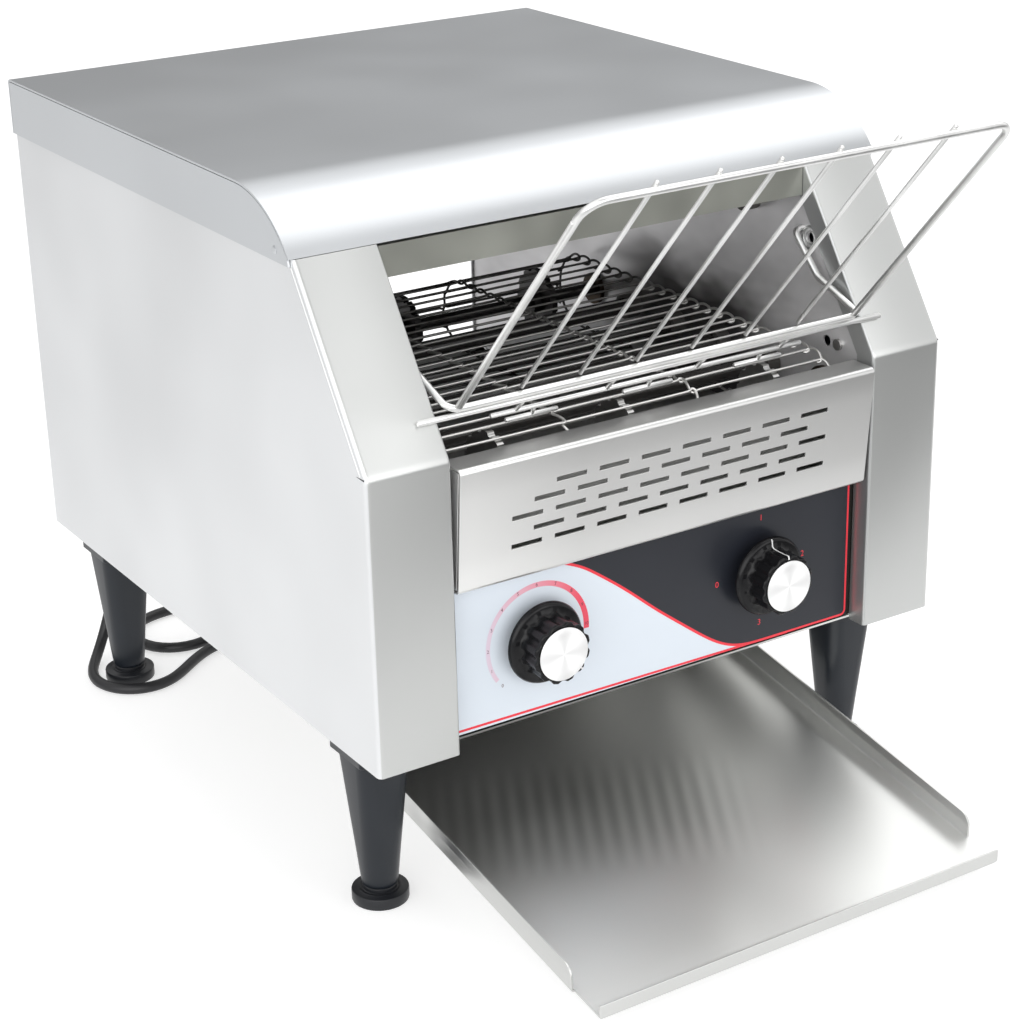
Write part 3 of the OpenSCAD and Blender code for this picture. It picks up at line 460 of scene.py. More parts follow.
for name, obj in frame["nodes"].items():
    slot = node_slot.get(name)
    paint = NODE_PAINT.get(name) or SLOT_PAINT.get(slot, dull_steel)
    obj.data.materials.clear()
    obj.data.materials.append(paint)
    if name in BEVELLED:
        add_bevel(obj, 0.25, 1)


# ---------- mesh helpers ----------

def make(name, verts, faces, paints, body="chassis", replaces=(), slot=None, which=None,
         bevel=0.0, solid=0.0, smooth=38):
    """A mesh piece from body coordinates. solid thickens a one-sided sheet inwards."""
    mesh = bpy.data.meshes.new(name)
    mesh.from_pydata([at(v) for v in verts], [], faces)
    paints = paints if isinstance(paints, (list, tuple)) else [paints]
    for paint in paints:
        mesh.materials.append(paint)
    if which:
        mesh.polygons.foreach_set("material_index", which)
    work = bmesh.new()
    work.from_mesh(mesh)
    bmesh.ops.remove_doubles(work, verts=work.verts, dist=1e-6)
    if not solid:
        bmesh.ops.recalc_face_normals(work, faces=work.faces)
    work.to_mesh(mesh)
    work.free()
    mesh.shade_smooth()
    mesh.set_sharp_from_angle(angle=math.radians(smooth))
    obj = add_object(name, mesh)
    if solid:
        thicken = obj.modifiers.new("sheet", "SOLIDIFY")
        thicken.thickness = solid * MM
        thicken.offset = -1.0
        thicken.use_even_offset = True
    if bevel:
        add_bevel(obj, bevel)
    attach(obj, body)
    if replaces:
        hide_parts(*([replaces] if isinstance(replaces, str) else replaces))
    return obj


class Mesh:
    """Collects the vertices and faces of several closed shapes."""

    def __init__(self):
        self.verts = []
        self.faces = []
        self.which = []

    def add(self, verts, faces, which=0):
        start = len(self.verts)
        self.verts += [tuple(v) for v in verts]
        self.faces += [tuple(i + start for i in face) for face in faces]
        self.which += [which] * len(faces)
        return self

    def make(self, name, paints, **options):
        return make(name, self.verts, self.faces, paints, which=self.which, **options)


def box(low, high):
    xs, ys, zs = zip(low, high)
    verts = [(x, y, z) for x in xs for y in ys for z in zs]
    faces = [(0, 1, 3, 2), (4, 6, 7, 5), (0, 4, 5, 1), (2, 3, 7, 6), (0, 2, 6, 4), (1, 5, 7, 3)]
    return verts, faces


def loops(rings, closed=False, caps=True):
    """Faces that join rings of equal length. Returns (verts, faces)."""
    count = len(rings[0])
    verts = [v for ring in rings for v in ring]
    faces = []
    pairs = len(rings) if closed else len(rings) - 1
    for i in range(pairs):
        a, b = i * count, (i + 1) % len(rings) * count
        for k in range(count):
            n = (k + 1) % count
            faces.append((a + k, a + n, b + n, b + k))
    if caps and not closed:
        faces.append(tuple(range(count - 1, -1, -1)))
        faces.append(tuple((len(rings) - 1) * count + k for k in range(count)))
    return verts, faces


def rounded(points, radius, steps=5):
    """A line of points with an arc of that radius at each inner corner."""
    points = [Vector(p) for p in points]
    line = [points[0]]
    for before, corner, after in zip(points, points[1:], points[2:]):
        into = (corner - before).normalized()
        out = (after - corner).normalized()
        turn = into.angle(out)
        if turn < 1e-4:
            continue
        cut = radius * math.tan(turn / 2)
        inward = (out - into * into.dot(out)).normalized()
        start = corner - into * cut
        for k in range(steps + 1):
            angle = turn * k / steps
            line.append(
                start + into * radius * math.sin(angle)
                + inward * radius * (1 - math.cos(angle))
            )
    line.append(points[-1])
    return line


ROD_CHAMFER = 0.35


def tube(path, radius, sides=12):
    """A round rod along a line of points, its ends slightly chamfered."""
    path = [Vector(p) for p in path]
    first = (path[1] - path[0]).normalized()
    last = (path[-1] - path[-2]).normalized()
    chamfer = ROD_CHAMFER * radius
    path = [path[0], path[0] + first * chamfer] + path[1:-1] + [path[-1] - last * chamfer, path[-1]]
    sizes = [radius - chamfer] + [radius] * (len(path) - 2) + [radius - chamfer]
    side = first.orthogonal().normalized()
    rings = []
    for i, point in enumerate(path):
        ahead = path[min(i + 1, len(path) - 1)] - path[max(i - 1, 0)]
        ahead.normalize()
        side = (side - ahead * side.dot(ahead)).normalized()
        other = ahead.cross(side)
        rings.append([
            point + (side * math.cos(a) + other * math.sin(a)) * sizes[i]
            for a in round_angles(sides)
        ])
    return loops(rings)


def turned_shape(profile, centre, axis, steps=48):
    """A solid of revolution: profile is (radius, distance along the axis) pairs."""
    centre, axis = Vector(centre), Vector(axis).normalized()
    side = axis.orthogonal().normalized()
    other = axis.cross(side)
    rings = [[
        centre + axis * h + (side * math.cos(a) + other * math.sin(a)) * max(r, 0.01)
        for a in round_angles(steps)
    ] for r, h in profile]
    return loops(rings)


def rounded_rectangle(wide, high, radius, steps):
    """Points (u, v) round a rectangle with rounded corners and its middle at 0."""
    ring = []
    for su, sv, start in ((1, 1, 0), (-1, 1, 90), (-1, -1, 180), (1, -1, 270)):
        for k in range(steps + 1):
            a = math.radians(start + 90 * k / steps)
            ring.append((
                su * (wide / 2 - radius) + radius * math.cos(a),
                sv * (high / 2 - radius) + radius * math.sin(a),
            ))
    return ring


def bead(centre, size, steps=10):
    """A small weld bead."""
    rings = []
    for j in range(1, 6):
        lat = math.pi * j / 6
        rings.append([
            (centre[0] + size[0] * math.sin(lat) * math.cos(a),
             centre[1] + size[1] * math.sin(lat) * math.sin(a),
             centre[2] + size[2] * math.cos(lat))
            for a in round_angles(steps)
        ])
    return loops(rings)


# ---------- cord ----------

CORD_R = 3.5
LOW = TABLE + CORD_R
ROUTE = [
    (-150, 413.5, -12), (-150, 414, -27), (-150, 417, -43), (-151, 421, -60),
    (-155.5, 423, -77), (-163, 419, -91), (-172.5, 409, -98), (-180.5, 396, LOW),
    (-184.5, 381, LOW), (-180.5, 366, LOW), (-170, 355, LOW), (-155, 351, LOW),
    (-140, 355, LOW), (-126, 366, LOW), (-112, 377, LOW), (-95, 385.5, LOW),
    (-76, 387, LOW), (-54, 384, LOW), (-32, 382.5, LOW), (-9, 391, LOW),
    (3, 412, LOW), (-4, 437, LOW), (-29, 448, LOW), (-52, 439, LOW),
    (-68, 420, LOW), (-84, 401, LOW), (-107, 391, LOW), (-130, 400, LOW),
    (-139, 423, LOW), (-130, 446, LOW), (-108, 455, LOW), (-82, 454, LOW),
    (-55, 461, LOW), (-28, 471.5, LOW), (0, 468, LOW), (24, 457, LOW),
]
COIL = (55.0, 405.0)
COIL_R = 43.6
COIL_INWARD = 7.2
COIL_OUTWARD = 3.6
COIL_LIFT = 6.6
PLUG_X = 95.0


def smooth_line(points, steps=6):
    """A uniform cubic B-spline that runs close by the points and ends on the outer two."""
    points = [Vector(p) for p in points]
    points = [2 * points[0] - points[1]] + points + [2 * points[-1] - points[-2]]
    line = []
    for a, b, c, d in zip(points, points[1:], points[2:], points[3:]):
        for k in range(steps):
            t = k / steps
            line.append((
                (1 - t) ** 3 * a + (3 * t ** 3 - 6 * t * t + 4) * b
                + (1 + 3 * t + 3 * t * t - 3 * t ** 3) * c + t ** 3 * d
            ) / 6)
    line.append(points[-2])
    return line


def ease(t):
    t = min(1.0, max(0.0, t))
    return t * t * (3 - 2 * t)


def coil_points():
    """Clockwise: the outer turn, the inner turn, then a turn on top, and off to the plug."""
    line = []
    start = math.radians(101)
    total = 101 + 720 + 360
    for k in range(0, total + 1, 12):
        inward = ease((k - 330) / 60)
        upward_share = ease((k - 690) / 70)
        radius = COIL_R - COIL_INWARD * inward + COIL_OUTWARD * upward_share
        height = LOW + COIL_LIFT * upward_share
        angle = start - math.radians(k)
        line.append((
            COIL[0] + radius * math.cos(angle), COIL[1] + radius * math.sin(angle), height,
        ))
    line.append((PLUG_X, 399, TABLE + 10.6))
    line.append((PLUG_X, 392, TABLE + 11))
    return line


cord_line = smooth_line(ROUTE + coil_points(), 4)
curve = bpy.data.curves.new("cord", "CURVE")
curve.dimensions = "3D"
curve.bevel_depth = CORD_R * MM
curve.bevel_resolution = 4
curve.use_fill_caps = True
spline = curve.splines.new("POLY")
spline.points.add(len(cord_line) - 1)
for point, place in zip(spline.points, cord_line):
    point.co = (*at(place), 1.0)
spline.use_smooth = True
curve.materials.append(cord_black)
cord = add_object("cord", curve)
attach(cord, "chassis")
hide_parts("cord_tube", "cord_coil")

relief = turned_shape([
    (6.2, 6), (6.2, 0.4), (8, 0), (8, -1.2), (7.6, -3.8), (6.4, -4.2), (6.2, -13),
    (5.6, -14), (5.2, -16), (5.4, -17), (5.0, -18.5), (5.2, -20), (4.8, -21.5),
    (4.9, -23), (4.5, -24.5), (4.6, -26), (4.2, -28), (4.2, -31), (3.7, -34), (3.4, -34.4),
], (-150, 413.5, 0), (0, 0, 1), 28)
relief_piece = make("strain_relief", *relief, cord_black, replaces="cord_gland",
                    slot="black_plastic", bevel=0.2)


plug = Mesh()
plug_z = TABLE + 12
plug.add(*loops([
    [(PLUG_X + u, y, plug_z + v) for u, v in rounded_rectangle(w, h, r, 4)] for y, w, h, r in (
        (345.0, 32.4, 22.4, 4), (345.8, 33.6, 23.6, 5), (349, 34, 24, 5), (360, 34, 24, 6),
        (361, 32.4, 22.4, 6), (363, 32.4, 22.4, 6), (364, 33.6, 23.6, 6),
        (366, 32.0, 22.0, 6), (368, 32.0, 22.0, 6), (369, 32.8, 23.0, 6),
        (372, 30.5, 21, 7), (376, 27, 19, 7), (380, 20, 16, 6), (383, 12.5, 12, 5),
        (385, 10.4, 10.4, 4.6), (391, 9.8, 9.8, 4.4), (399, 8.6, 8.6, 4),
    )
]))
for pin_x in (PLUG_X - 9.5, PLUG_X + 9.5):
    for profile, which in (([(2.0, -19), (2.4, -18.4), (2.4, -7), (2.4, 1)], 1),
                           ([(2.55, -8), (2.55, 1)], 0)):
        plug.add(*turned_shape(profile, (pin_x, 345, plug_z), (0, 1, 0), 20), which=which)
plug_piece = plug.make("plug", [SLOT_PAINT["plug_plastic"], chrome], replaces="cord_plug",
                       slot="plug_plastic", bevel=0.3)
tuple(at(ROUTE[0]))


# ---------- side panels and hood ----------

def front_at(z, d, soft=2.2):
    """y of the front outline at height z, set inwards by d, with a soft fold at the knee."""
    over = z - (KNEE - d * math.tan(LEAN / 2))
    if over <= -soft:
        return d
    if over < soft:
        return d + (over + soft) ** 2 / (4 * soft) * math.tan(LEAN)
    return d + over * math.tan(LEAN)


FOLD_R = 3.0
INNER_FOLD_R = 1.8


def side_panel(sign):
    levels = [0.0, 0.5, 90.0]
    levels += [KNEE + d for d in (-2.6, -1.4, -0.6, 0.0, 0.6, 1.4, 2.6, 4.0)]
    levels += [210.0, 258.7]
    quarter = [math.radians(15 * k) for k in range(7)]

    def section(z):
        groove = 0.7 if z > KNEE + 1 else 0.0
        outer = [(SIDE_X, None), (SIDE_X, 4.2), (SIDE_X - groove, 3.7), (SIDE_X, 3.2)]
        outer += [(SIDE_X - FOLD_R + FOLD_R * math.cos(a), FOLD_R - FOLD_R * math.sin(a))
                  for a in quarter]
        outer += [(INNER_X + INNER_FOLD_R * (1 - math.sin(a)), INNER_FOLD_R * (1 - math.cos(a)))
                  for a in quarter]
        outer += [(INNER_X, 13.0)]
        inner = [(INNER_X + SHEET, 13.0), (INNER_X + SHEET, 2.4), (INNER_X + 2.4, SHEET),
                 (SIDE_X - 3.2, SHEET), (SIDE_X - SHEET, 3.2), (SIDE_X - SHEET, None)]
        return [(sign * x, PANEL_REAR if d is None else front_at(z, d), z)
                for x, d in outer + inner]

    verts, faces = loops([section(z) for z in levels])
    name = "side_panel_left" if sign < 0 else "side_panel_right"
    made = make(f"{name}_skin", verts, faces, [lit_side_steel, shaded_front_steel, shaded_fold_steel],
                replaces=name, slot="brushed_steel_side", bevel=0.2, smooth=32)
    # Faces painted by which way they face: the lighter side copy on the sides, painted shade on the
    # front faces and the inner folds.
    for face in made.data.polygons:
        if abs(face.normal.x) < 0.6:
            face.material_index = 1
        elif abs(face.center.x) < 0.1375:
            face.material_index = 2


side_panel(-1)
side_panel(1)

# The slit where the sloping flange parts from the upright one at the knee
slits = Mesh()
for sign in (-1, 1):
    verts, faces = loops([[(sign * x, y, KNEE + z) for y, z in (
        (1.6, -0.35), (1.6, 0.35), (5.0, 0.45), (9.0, 0.15), (5.0, -0.15))]
        for x in (SIDE_X - 0.4, SIDE_X + 0.06)])
    slits.add(verts, faces)
slits.make("knee_slits", print_black, slot="dull_steel")


def hood_line(inset):
    """(y, z) from the front edge over the arc to the rear edge, set inwards."""
    arc_z = HOOD_TOP - HOOD_R
    radius = HOOD_R - inset
    first = math.asin((HOOD_EDGE - arc_z) / radius)
    line = [(HOOD_ARC_Y - radius * math.cos(a), arc_z + radius * math.sin(a))
            for a in (first + (math.pi / 2 - first) * k / 28 for k in range(29))]
    rear, top = REAR_Y - inset, HOOD_TOP - inset
    line += [tuple(p)[:2] for p in rounded(
        [(HOOD_ARC_Y + 1, top, 0), (rear, top, 0), (rear, SKIRT_LOW, 0)], max(2.6 - inset, 0.6))]
    return line


def plate_across(outline, x0, x1):
    """A plate between two places across the body, from its outline of (y, z)."""
    return loops([[(x, y, z) for y, z in outline] for x in (x0, x1)])


RIVET = (79.0, 261.0)
RIVET_HEAD = [(2.2, 0), (2.2, 0.15), (1.7, 0.42), (0.9, 0.52)]
hood = Mesh()
hood.add(*plate_across(hood_line(0) + hood_line(SHEET)[::-1], -HOOD_X, HOOD_X))
skirt = hood_line(SHEET + 0.35) + [(HOOD_LIP_Y + SHEET, SKIRT_LOW)]
for sign in (-1, 1):
    hood.add(*plate_across(skirt, sign * (HOOD_X - SHEET), sign * HOOD_X))
    hood.add(*turned_shape(RIVET_HEAD, (sign * HOOD_X, *RIVET), (sign, 0, 0), 20))
hood.make("hood_shell", shaded_hood_steel, replaces="hood", slot="brushed_steel_hood",
          bevel=0.3, smooth=32)


# ---------- vent panel ----------

def sheet_grid(name, wide, high, place, skip, paint, **options):
    """A sheet of quads over wide by high points, without the cells that skip picks out."""
    verts = [place(i, j) for j in range(high) for i in range(wide)]
    faces = [
        (j * wide + i, j * wide + i + 1, (j + 1) * wide + i + 1, (j + 1) * wide + i)
        for j in range(high - 1) for i in range(wide - 1) if not skip(i, j)
    ]
    used = sorted({i for face in faces for i in face})
    order = {old: new for new, old in enumerate(used)}
    return make(name, [verts[i] for i in used],
                [tuple(order[i] for i in face) for face in faces], paint, **options)


VENT_TOP = (-3.3, 157.0)
VENT_LOW = (2.6, 90.0)
SLOT_PITCH = 26.4
SLOT_RISE = 8
SLOT_LOW = 108.5
SLOT_HALF = (9.25, 1.25)
vent_line = rounded([(13.7, 157.0, 0), (*VENT_TOP, 0), (*VENT_LOW, 0), (12.7, 90.0, 0)], 1.8, 5)
slots = []
for row in range(5):
    count = 8 if row % 2 == 0 else 7
    for i in range(1 if row == 4 else 0, count):
        slots.append(((i - (count - 1) / 2) * SLOT_PITCH, SLOT_LOW + SLOT_RISE * row))

face_low, face_high = VENT_LOW[1] + 2.5, VENT_TOP[1] - 2.5
vent_rows = [tuple(p)[:2] for p in vent_line if p[1] > face_high]
cuts = sorted({z + s * SLOT_HALF[1] for _, z in slots for s in (-1, 1)}, reverse=True)
slope = (VENT_LOW[0] - VENT_TOP[0]) / (VENT_TOP[1] - VENT_LOW[1])
vent_rows += [(VENT_TOP[0] + (VENT_TOP[1] - z) * slope, z) for z in cuts]
vent_rows += [tuple(p)[:2] for p in vent_line if p[1] < face_low]
vent_columns = sorted({-PANEL_HALF, PANEL_HALF}
                      | {x + s * SLOT_HALF[0] for x, _ in slots for s in (-1, 1)})


def in_slot(i, j):
    x = (vent_columns[i] + vent_columns[i + 1]) / 2
    z = (vent_rows[j][1] + vent_rows[j + 1][1]) / 2
    return any(abs(x - sx) < SLOT_HALF[0] and abs(z - sz) < SLOT_HALF[1] for sx, sz in slots)


sheet_grid("vent_panel_face", len(vent_columns), len(vent_rows),
           lambda i, j: (vent_columns[i], *vent_rows[j]), in_slot, painted_light_vent_steel, solid=SHEET,
           bevel=0.28, replaces="vent_panel", slot="brushed_steel_front")
vent_sides = Mesh()
for sign in (-1, 1):
    outline = [(VENT_TOP[0] + 1.0, 156.2), (VENT_LOW[0] + 0.9, 90.8), (12.7, 90.8), (12.7, 156.2)]
    vent_sides.add(*plate_across(outline, sign * (PANEL_HALF - SHEET), sign * PANEL_HALF))
vent_sides.make("vent_panel_sides", painted_light_vent_steel, slot="brushed_steel_front", bevel=0.3)


# ---------- control panel print ----------

PRINT_Y = 13.0
PRINT_BACK = 13.4
CURVE = [
    (-133, 90.5), (-110, 90.3), (-90, 89.8), (-74, 88.3), (-64, 85.8), (-57.9, 83.4), (-48.9, 79.4),
    (-39.7, 72.8), (-27.4, 63.8), (-14.8, 53.5), (-2.1, 42.4), (14.1, 30), (27.3, 19.8), (39, 11.4),
    (50.8, 5.9), (61, 4.2), (72, 4), (90, 4),
]
divider = [(p.x, p.z) for p in smooth_line([(x, 0, z) for x, z in CURVE], 5)]
PRINT_LOW, PRINT_HIGH = 3.5, 92
PRINT_SPLIT = 90
corners = [(-PANEL_HALF, PRINT_LOW), (PANEL_HALF, PRINT_LOW),
           (PANEL_HALF, PRINT_HIGH), (-PANEL_HALF, PRINT_HIGH)]
left_field = [corners[0], (PRINT_SPLIT, PRINT_LOW)] + divider[::-1]
right_field = [(PRINT_SPLIT, PRINT_LOW)] + corners[1:] + divider
overlay = Mesh()
for which, field in enumerate((left_field, right_field)):
    overlay.add([(x, PRINT_Y, z) for x, z in field], [tuple(range(len(field)))], which)
back_verts, back_faces = loops([[(x, y, z) for x, z in corners] for y in (PRINT_Y, PRINT_BACK)],
                               caps=False)
overlay.add(back_verts, back_faces + [(4, 5, 6, 7)], 1)
overlay.make("panel_print", [print_light, print_black], replaces="panel_overlay",
             slot="printed_overlay")


def ribbon(line, width, y=PRINT_Y - 0.06):
    """A flat printed strip along a line of (x, z); width may be a function of the share."""
    left, right_side = [], []
    for i, (x, z) in enumerate(line):
        before, after = line[max(i - 1, 0)], line[min(i + 1, len(line) - 1)]
        ahead = Vector((after[0] - before[0], after[1] - before[1])).normalized()
        half = (width(i / (len(line) - 1)) if callable(width) else width) / 2
        left.append((x - ahead.y * half, y, z + ahead.x * half))
        right_side.append((x + ahead.y * half, y, z - ahead.x * half))
    count = len(line)
    faces = [(i, i + 1, count + i + 1, count + i) for i in range(count - 1)]
    return left + right_side, faces


lines = Mesh()
lines.add(*ribbon(divider, 1.5))
border = [tuple(p)[:2] for p in rounded([(60, 4.1, 0), (132, 4.1, 0), (132, 91, 0)], 3.0, 6)]
lines.add(*ribbon(border, 1.3, PRINT_Y - 0.05))
lines.add(*ribbon([(-PANEL_HALF, 5.6), (-60, 5.1), (0, 4.6), (60, 4.1)], 1.4,
                  PRINT_Y - 0.055))
lines.make("print_lines", print_red, slot="printed_overlay")
DIAL_CENTRE = (-78.6, 45.9)
DIAL_R = 31.0


def on_dial(degrees):
    a = math.radians(degrees)
    return DIAL_CENTRE[0] + DIAL_R * math.cos(a), DIAL_CENTRE[1] + DIAL_R * math.sin(a)


arc = [on_dial(215 - 219 * k / 56) for k in range(57)]
make("print_dial", *ribbon(arc, lambda t: 2.4 + t), print_fading, slot="printed_overlay")


def number(text, x, z, size, paint, name):
    """A printed digit on the panel."""
    font = bpy.data.curves.new(name, "FONT")
    font.body = text
    font.size = size * MM
    font.align_x = "CENTER"
    font.align_y = "CENTER"
    holder = add_object(name, font)
    holder.matrix_world = Matrix.Translation(at((x, PRINT_Y - 0.08, z))) @ Matrix.Rotation(
        math.pi / 2, 4, "X")
    bpy.context.view_layer.update()
    mesh = bpy.data.meshes.new_from_object(holder)
    mesh.transform(holder.matrix_world)
    bpy.data.objects.remove(holder)
    mesh.materials.clear()
    mesh.materials.append(paint)
    digit = add_object(name, mesh)
    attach(digit, "chassis")


for k in range(11):
    number(str(k), *on_dial(223.5 - 22.25 * k), 2.8, print_dark, f"dial_number_{k}")
for text, x, z in (("1", 69.5, 79), ("2", 99.5, 50), ("3", 69.5, 15.5), ("0", 39.5, 46)):
    number(text, x, z, 5.0, print_red, f"selector_number_{text}")


# ---------- knobs ----------

GRIP_R = 17.0
FLUTES = 12
FLUTE_R = 3.2
FLUTE_AT = 18.8
KNOB_STEPS = 144


def flute_radius(a):
    """The grip's radius at an angle, with its scooped flutes."""
    step = math.tau / FLUTES
    off = (a + step / 2) % step - step / 2
    reach = FLUTE_AT * math.sin(off)
    if abs(reach) >= FLUTE_R:
        return GRIP_R
    return min(GRIP_R, FLUTE_AT * math.cos(off) - math.sqrt(FLUTE_R ** 2 - reach ** 2))


def knob(name, x, body, pointer):
    """A knob with its cap and pointer line. The profile's third number is the flutes' share."""
    profile = [
        (22.2, 6.0, 0), (23.0, 5.4, 0), (23.0, 4.9, 0), (22.3, 3.6, 0), (21.6, 2.9, 0),
        (20.8, 2.65, 0), (18.0, 2.5, 0), (17.6, 1.9, 0.3), (17.1, 0.8, 1), (17.0, -1.0, 1),
        (17.0, -7.0, 1), (17.1, -9.5, 1), (17.3, -10.8, 1), (17.2, -11.4, 1), (16.7, -11.85, 0.95),
        (16.1, -12.0, 0.8), (15.2, -12.0, 0), (15.0, -11.5, 0),
    ]
    rings = []
    for radius, y, share in profile:
        ring = []
        for a in round_angles(KNOB_STEPS):
            r = radius - (GRIP_R - flute_radius(a)) * share
            ring.append((x + r * math.sin(a), y, KNOB_Z + r * math.cos(a)))
        rings.append(ring)
    make(f"{name}_grip", *loops(rings), knob_black, body=body, replaces=name,
         slot="knob_plastic", smooth=50)
    cap = turned_shape([(14.6, 0.2), (14.8, 0.5), (14.8, 0.9), (14.4, 1.2), (8, 1.2), (3, 1.2)],
                       (x, -12, KNOB_Z), (0, -1, 0), 96)
    make(f"{name}_disc", *cap, aluminium, body=body, replaces=f"{name}_cap",
         slot="spun_aluminium", smooth=50)
    a = math.radians(pointer)
    out = Vector((math.sin(a), 0, math.cos(a)))
    side = Vector((math.cos(a), 0, -math.sin(a)))
    centre = Vector((x, 0, KNOB_Z))
    line = [(22.2, 3.4), (21.6, 2.8), (18.2, 2.4), (17.4, 1.2), (17.2, -1.0), (17.2, -8.0),
            (17.5, -10.8), (17.4, -11.5), (16.7, -12.1), (15.4, -12.12)]
    verts = []
    for r, y in line:
        for s in (-0.45, 0.45):
            verts.append(tuple(centre + out * (r + 0.12) + side * s + Vector((0, y - 0.05, 0))))
    faces = [(2 * i, 2 * i + 1, 2 * i + 3, 2 * i + 2) for i in range(len(line) - 1)]
    make(f"{name}_pointer", verts, faces, white_line, body=body, slot="knob_plastic")


knob("colour_knob", DIAL_X, "colour_knob_group", 135)
knob("selector_knob", SELECTOR_X, "selector_knob_group", 0)


# ---------- legs and feet ----------

LEG_X = 159.6
LEG_FRONT_Y = 50.5
LEG_REAR_Y = 382
# Levels of a leg: (z, width, corner radius)
COLLAR = ((0, 34.8, 2.4), (-0.3, 35.4, 2.6), (-11.1, 35.4, 2.6), (-11.5, 34.8, 2.4))
TAPER = (
    (-11.2, 31.8, 8), (-30, 29.1, 8.5), (-50, 26.2, 9), (-70, 23.2, 9.5), (-84, 21.2, 9.8),
    (-90, 20.3, 9.95), (-91.4, 19.9, 9.8), (-92, 19, 9.4),
)
FOOT = (
    (15.0, -102), (15.6, -101.7), (15.8, -101.1), (15.8, -95.9), (15.6, -95.35),
    (15.1, -95.1), (12.4, -95.1), (11.9, -94.7), (11.0, -94.55), (10.1, -94.9), (9.5, -94.6),
    (9.5, -92.8), (9.1, -92.35), (4.0, -92.3), (4.0, -62.3), (3.6, -61.9),
)

for name, x, y in (("front_left", -LEG_X, LEG_FRONT_Y), ("front_right", LEG_X, LEG_FRONT_Y),
                   ("rear_left", -LEG_X, LEG_REAR_Y), ("rear_right", LEG_X, LEG_REAR_Y)):
    leg = Mesh()
    for levels in (COLLAR, TAPER):
        leg.add(*loops([[(x + u, y + v, z) for u, v in rounded_rectangle(w, w, r, 6)]
                        for z, w, r in levels]))
    leg.make(f"leg_{name}_shell", leg_black, replaces=f"leg_{name}", slot="leg_plastic",
             smooth=40, bevel=0.25)
    make(f"foot_{name}_disc", *turned_shape(FOOT, (x, y, 0), (0, 0, 1)), foot_black,
         body=f"{name}_foot", replaces=f"foot_{name}", slot="foot_rubber", smooth=40)


# A pressed seat round each spare hole beside the rack's pivot
seats = Mesh()
for sign in (-1, 1):
    for radius, rod in ((6.2, 0.9), (3.6, 0.5)):
        turn = [(sign * (WALL_X - 0.3), 58 + radius * math.cos(a), 217 + radius * math.sin(a))
                for a in (math.tau * k / 32 for k in range(34))]
        seats.add(*tube(turn, rod, 8))
seats.make("pivot_seats", shaded_front_steel, slot="brushed_steel_front", smooth=60)


# ---------- feed rack ----------

RAIL = Vector((0, 8.0, 186.0))
RACK_TOP = Vector((0, -107.0, 314.0))
along = (RACK_TOP - RAIL).normalized()
behind = Vector((0, along.z, -along.y))
rack_length = (RACK_TOP - RAIL).length


def in_grid(x, distance, back=0.0):
    p = RAIL + along * distance + behind * back
    return (x, p.y, p.z)


FRAME_R, BAR_R = 1.9, 1.2
RACK_HALF = 126
PIN_END = 141.2
grid = Mesh()
grid.add(*tube(rounded([in_grid(-RACK_HALF, 2), in_grid(-RACK_HALF, rack_length),
                        in_grid(RACK_HALF, rack_length), in_grid(RACK_HALF, 2)], 12, 8),
               FRAME_R, 16))
beside = FRAME_R + BAR_R - 0.4
for k in range(8):
    outer = k in (0, 7)
    half = RACK_HALF + 1.3 if outer else RACK_HALF - beside
    x = half * (2 * k / 7 - 1)
    back = 0 if outer else beside
    end = rack_length - 13.5 if outer else rack_length + 3
    grid.add(*tube([in_grid(x, 2, back), in_grid(x, end, back)], BAR_R, 12))
    if not outer:
        grid.add(*bead(in_grid(x, rack_length, beside * 0.5), (1.1, 1.1, 1.1)))
grid.make("rack_grid_wires", chrome, body="feed_rack", replaces="rack_grid",
          slot="rack_chrome", smooth=60)

arms = Mesh()
arms.add(*tube(rounded([(-PIN_END, 66, 221), (-131, 66, 221), (-131, 44, 199)], 5, 6)[:-1]
               + rounded([(-131, 60, 215), (-131, 44, 199), (-131, 8, 186)], 12, 6)[1:-1]
               + rounded([(-131, 20, 190.3), (-131, 8, 186), (131, 8, 186), (131, 20, 190.3)],
                         7, 6)[1:-1]
               + rounded([(131, 8, 186), (131, 44, 199), (131, 60, 215)], 12, 6)[1:-1]
               + rounded([(131, 44, 199), (131, 66, 221), (PIN_END, 66, 221)], 5, 6)[1:],
               FRAME_R, 16))
arms.make("rack_arm_wire", chrome, body="feed_rack", replaces="rack_arms",
          slot="rack_chrome", smooth=60)

guides = Mesh()
rest_z = 181.8
rest_y = (rest_z - KNEE) * math.tan(LEAN) - 1.8 / math.cos(LEAN)
guide_y, guide_z = 20.0, 173.0
dip_y, dip_z = guide_y + 3.5, guide_z - 5.5
guides.add(*tube([(-148, rest_y, rest_z), (148, rest_y, rest_z)], 1.6, 14))
guides.add(*tube([(-100, guide_y, guide_z), (100, guide_y, guide_z)], 1.4, 14))
for x in (-85, -29, 29, 85):
    guides.add(*tube([(x, rest_y, rest_z), (x, guide_y, guide_z)], 1.15, 10))
for x in (-73, 0, 73):
    guides.add(*tube([(x - 16, dip_y, dip_z), (x + 16, dip_y, dip_z)], 1.3, 14))
    guides.add(*tube([(x, guide_y, guide_z), (x, dip_y, dip_z)], 1.15, 10))
guides.make("rack_guide_wires", chrome, body="feed_rack", replaces="rack_guides",
            slot="rack_chrome", smooth=60)


# ---------- belt ----------

WIRES = 2 * BELT_RUN + BELT_TEETH
HALF_TURN = BELT_TEETH // 2


def round_wheel(y, degrees):
    """(y, z) and the outward normal of the belt where it turns round a wheel."""
    a = math.radians(degrees)
    out = Vector((0, math.cos(a), math.sin(a)))
    return Vector((0, y, BELT_Z)) + out * BELT_R, out


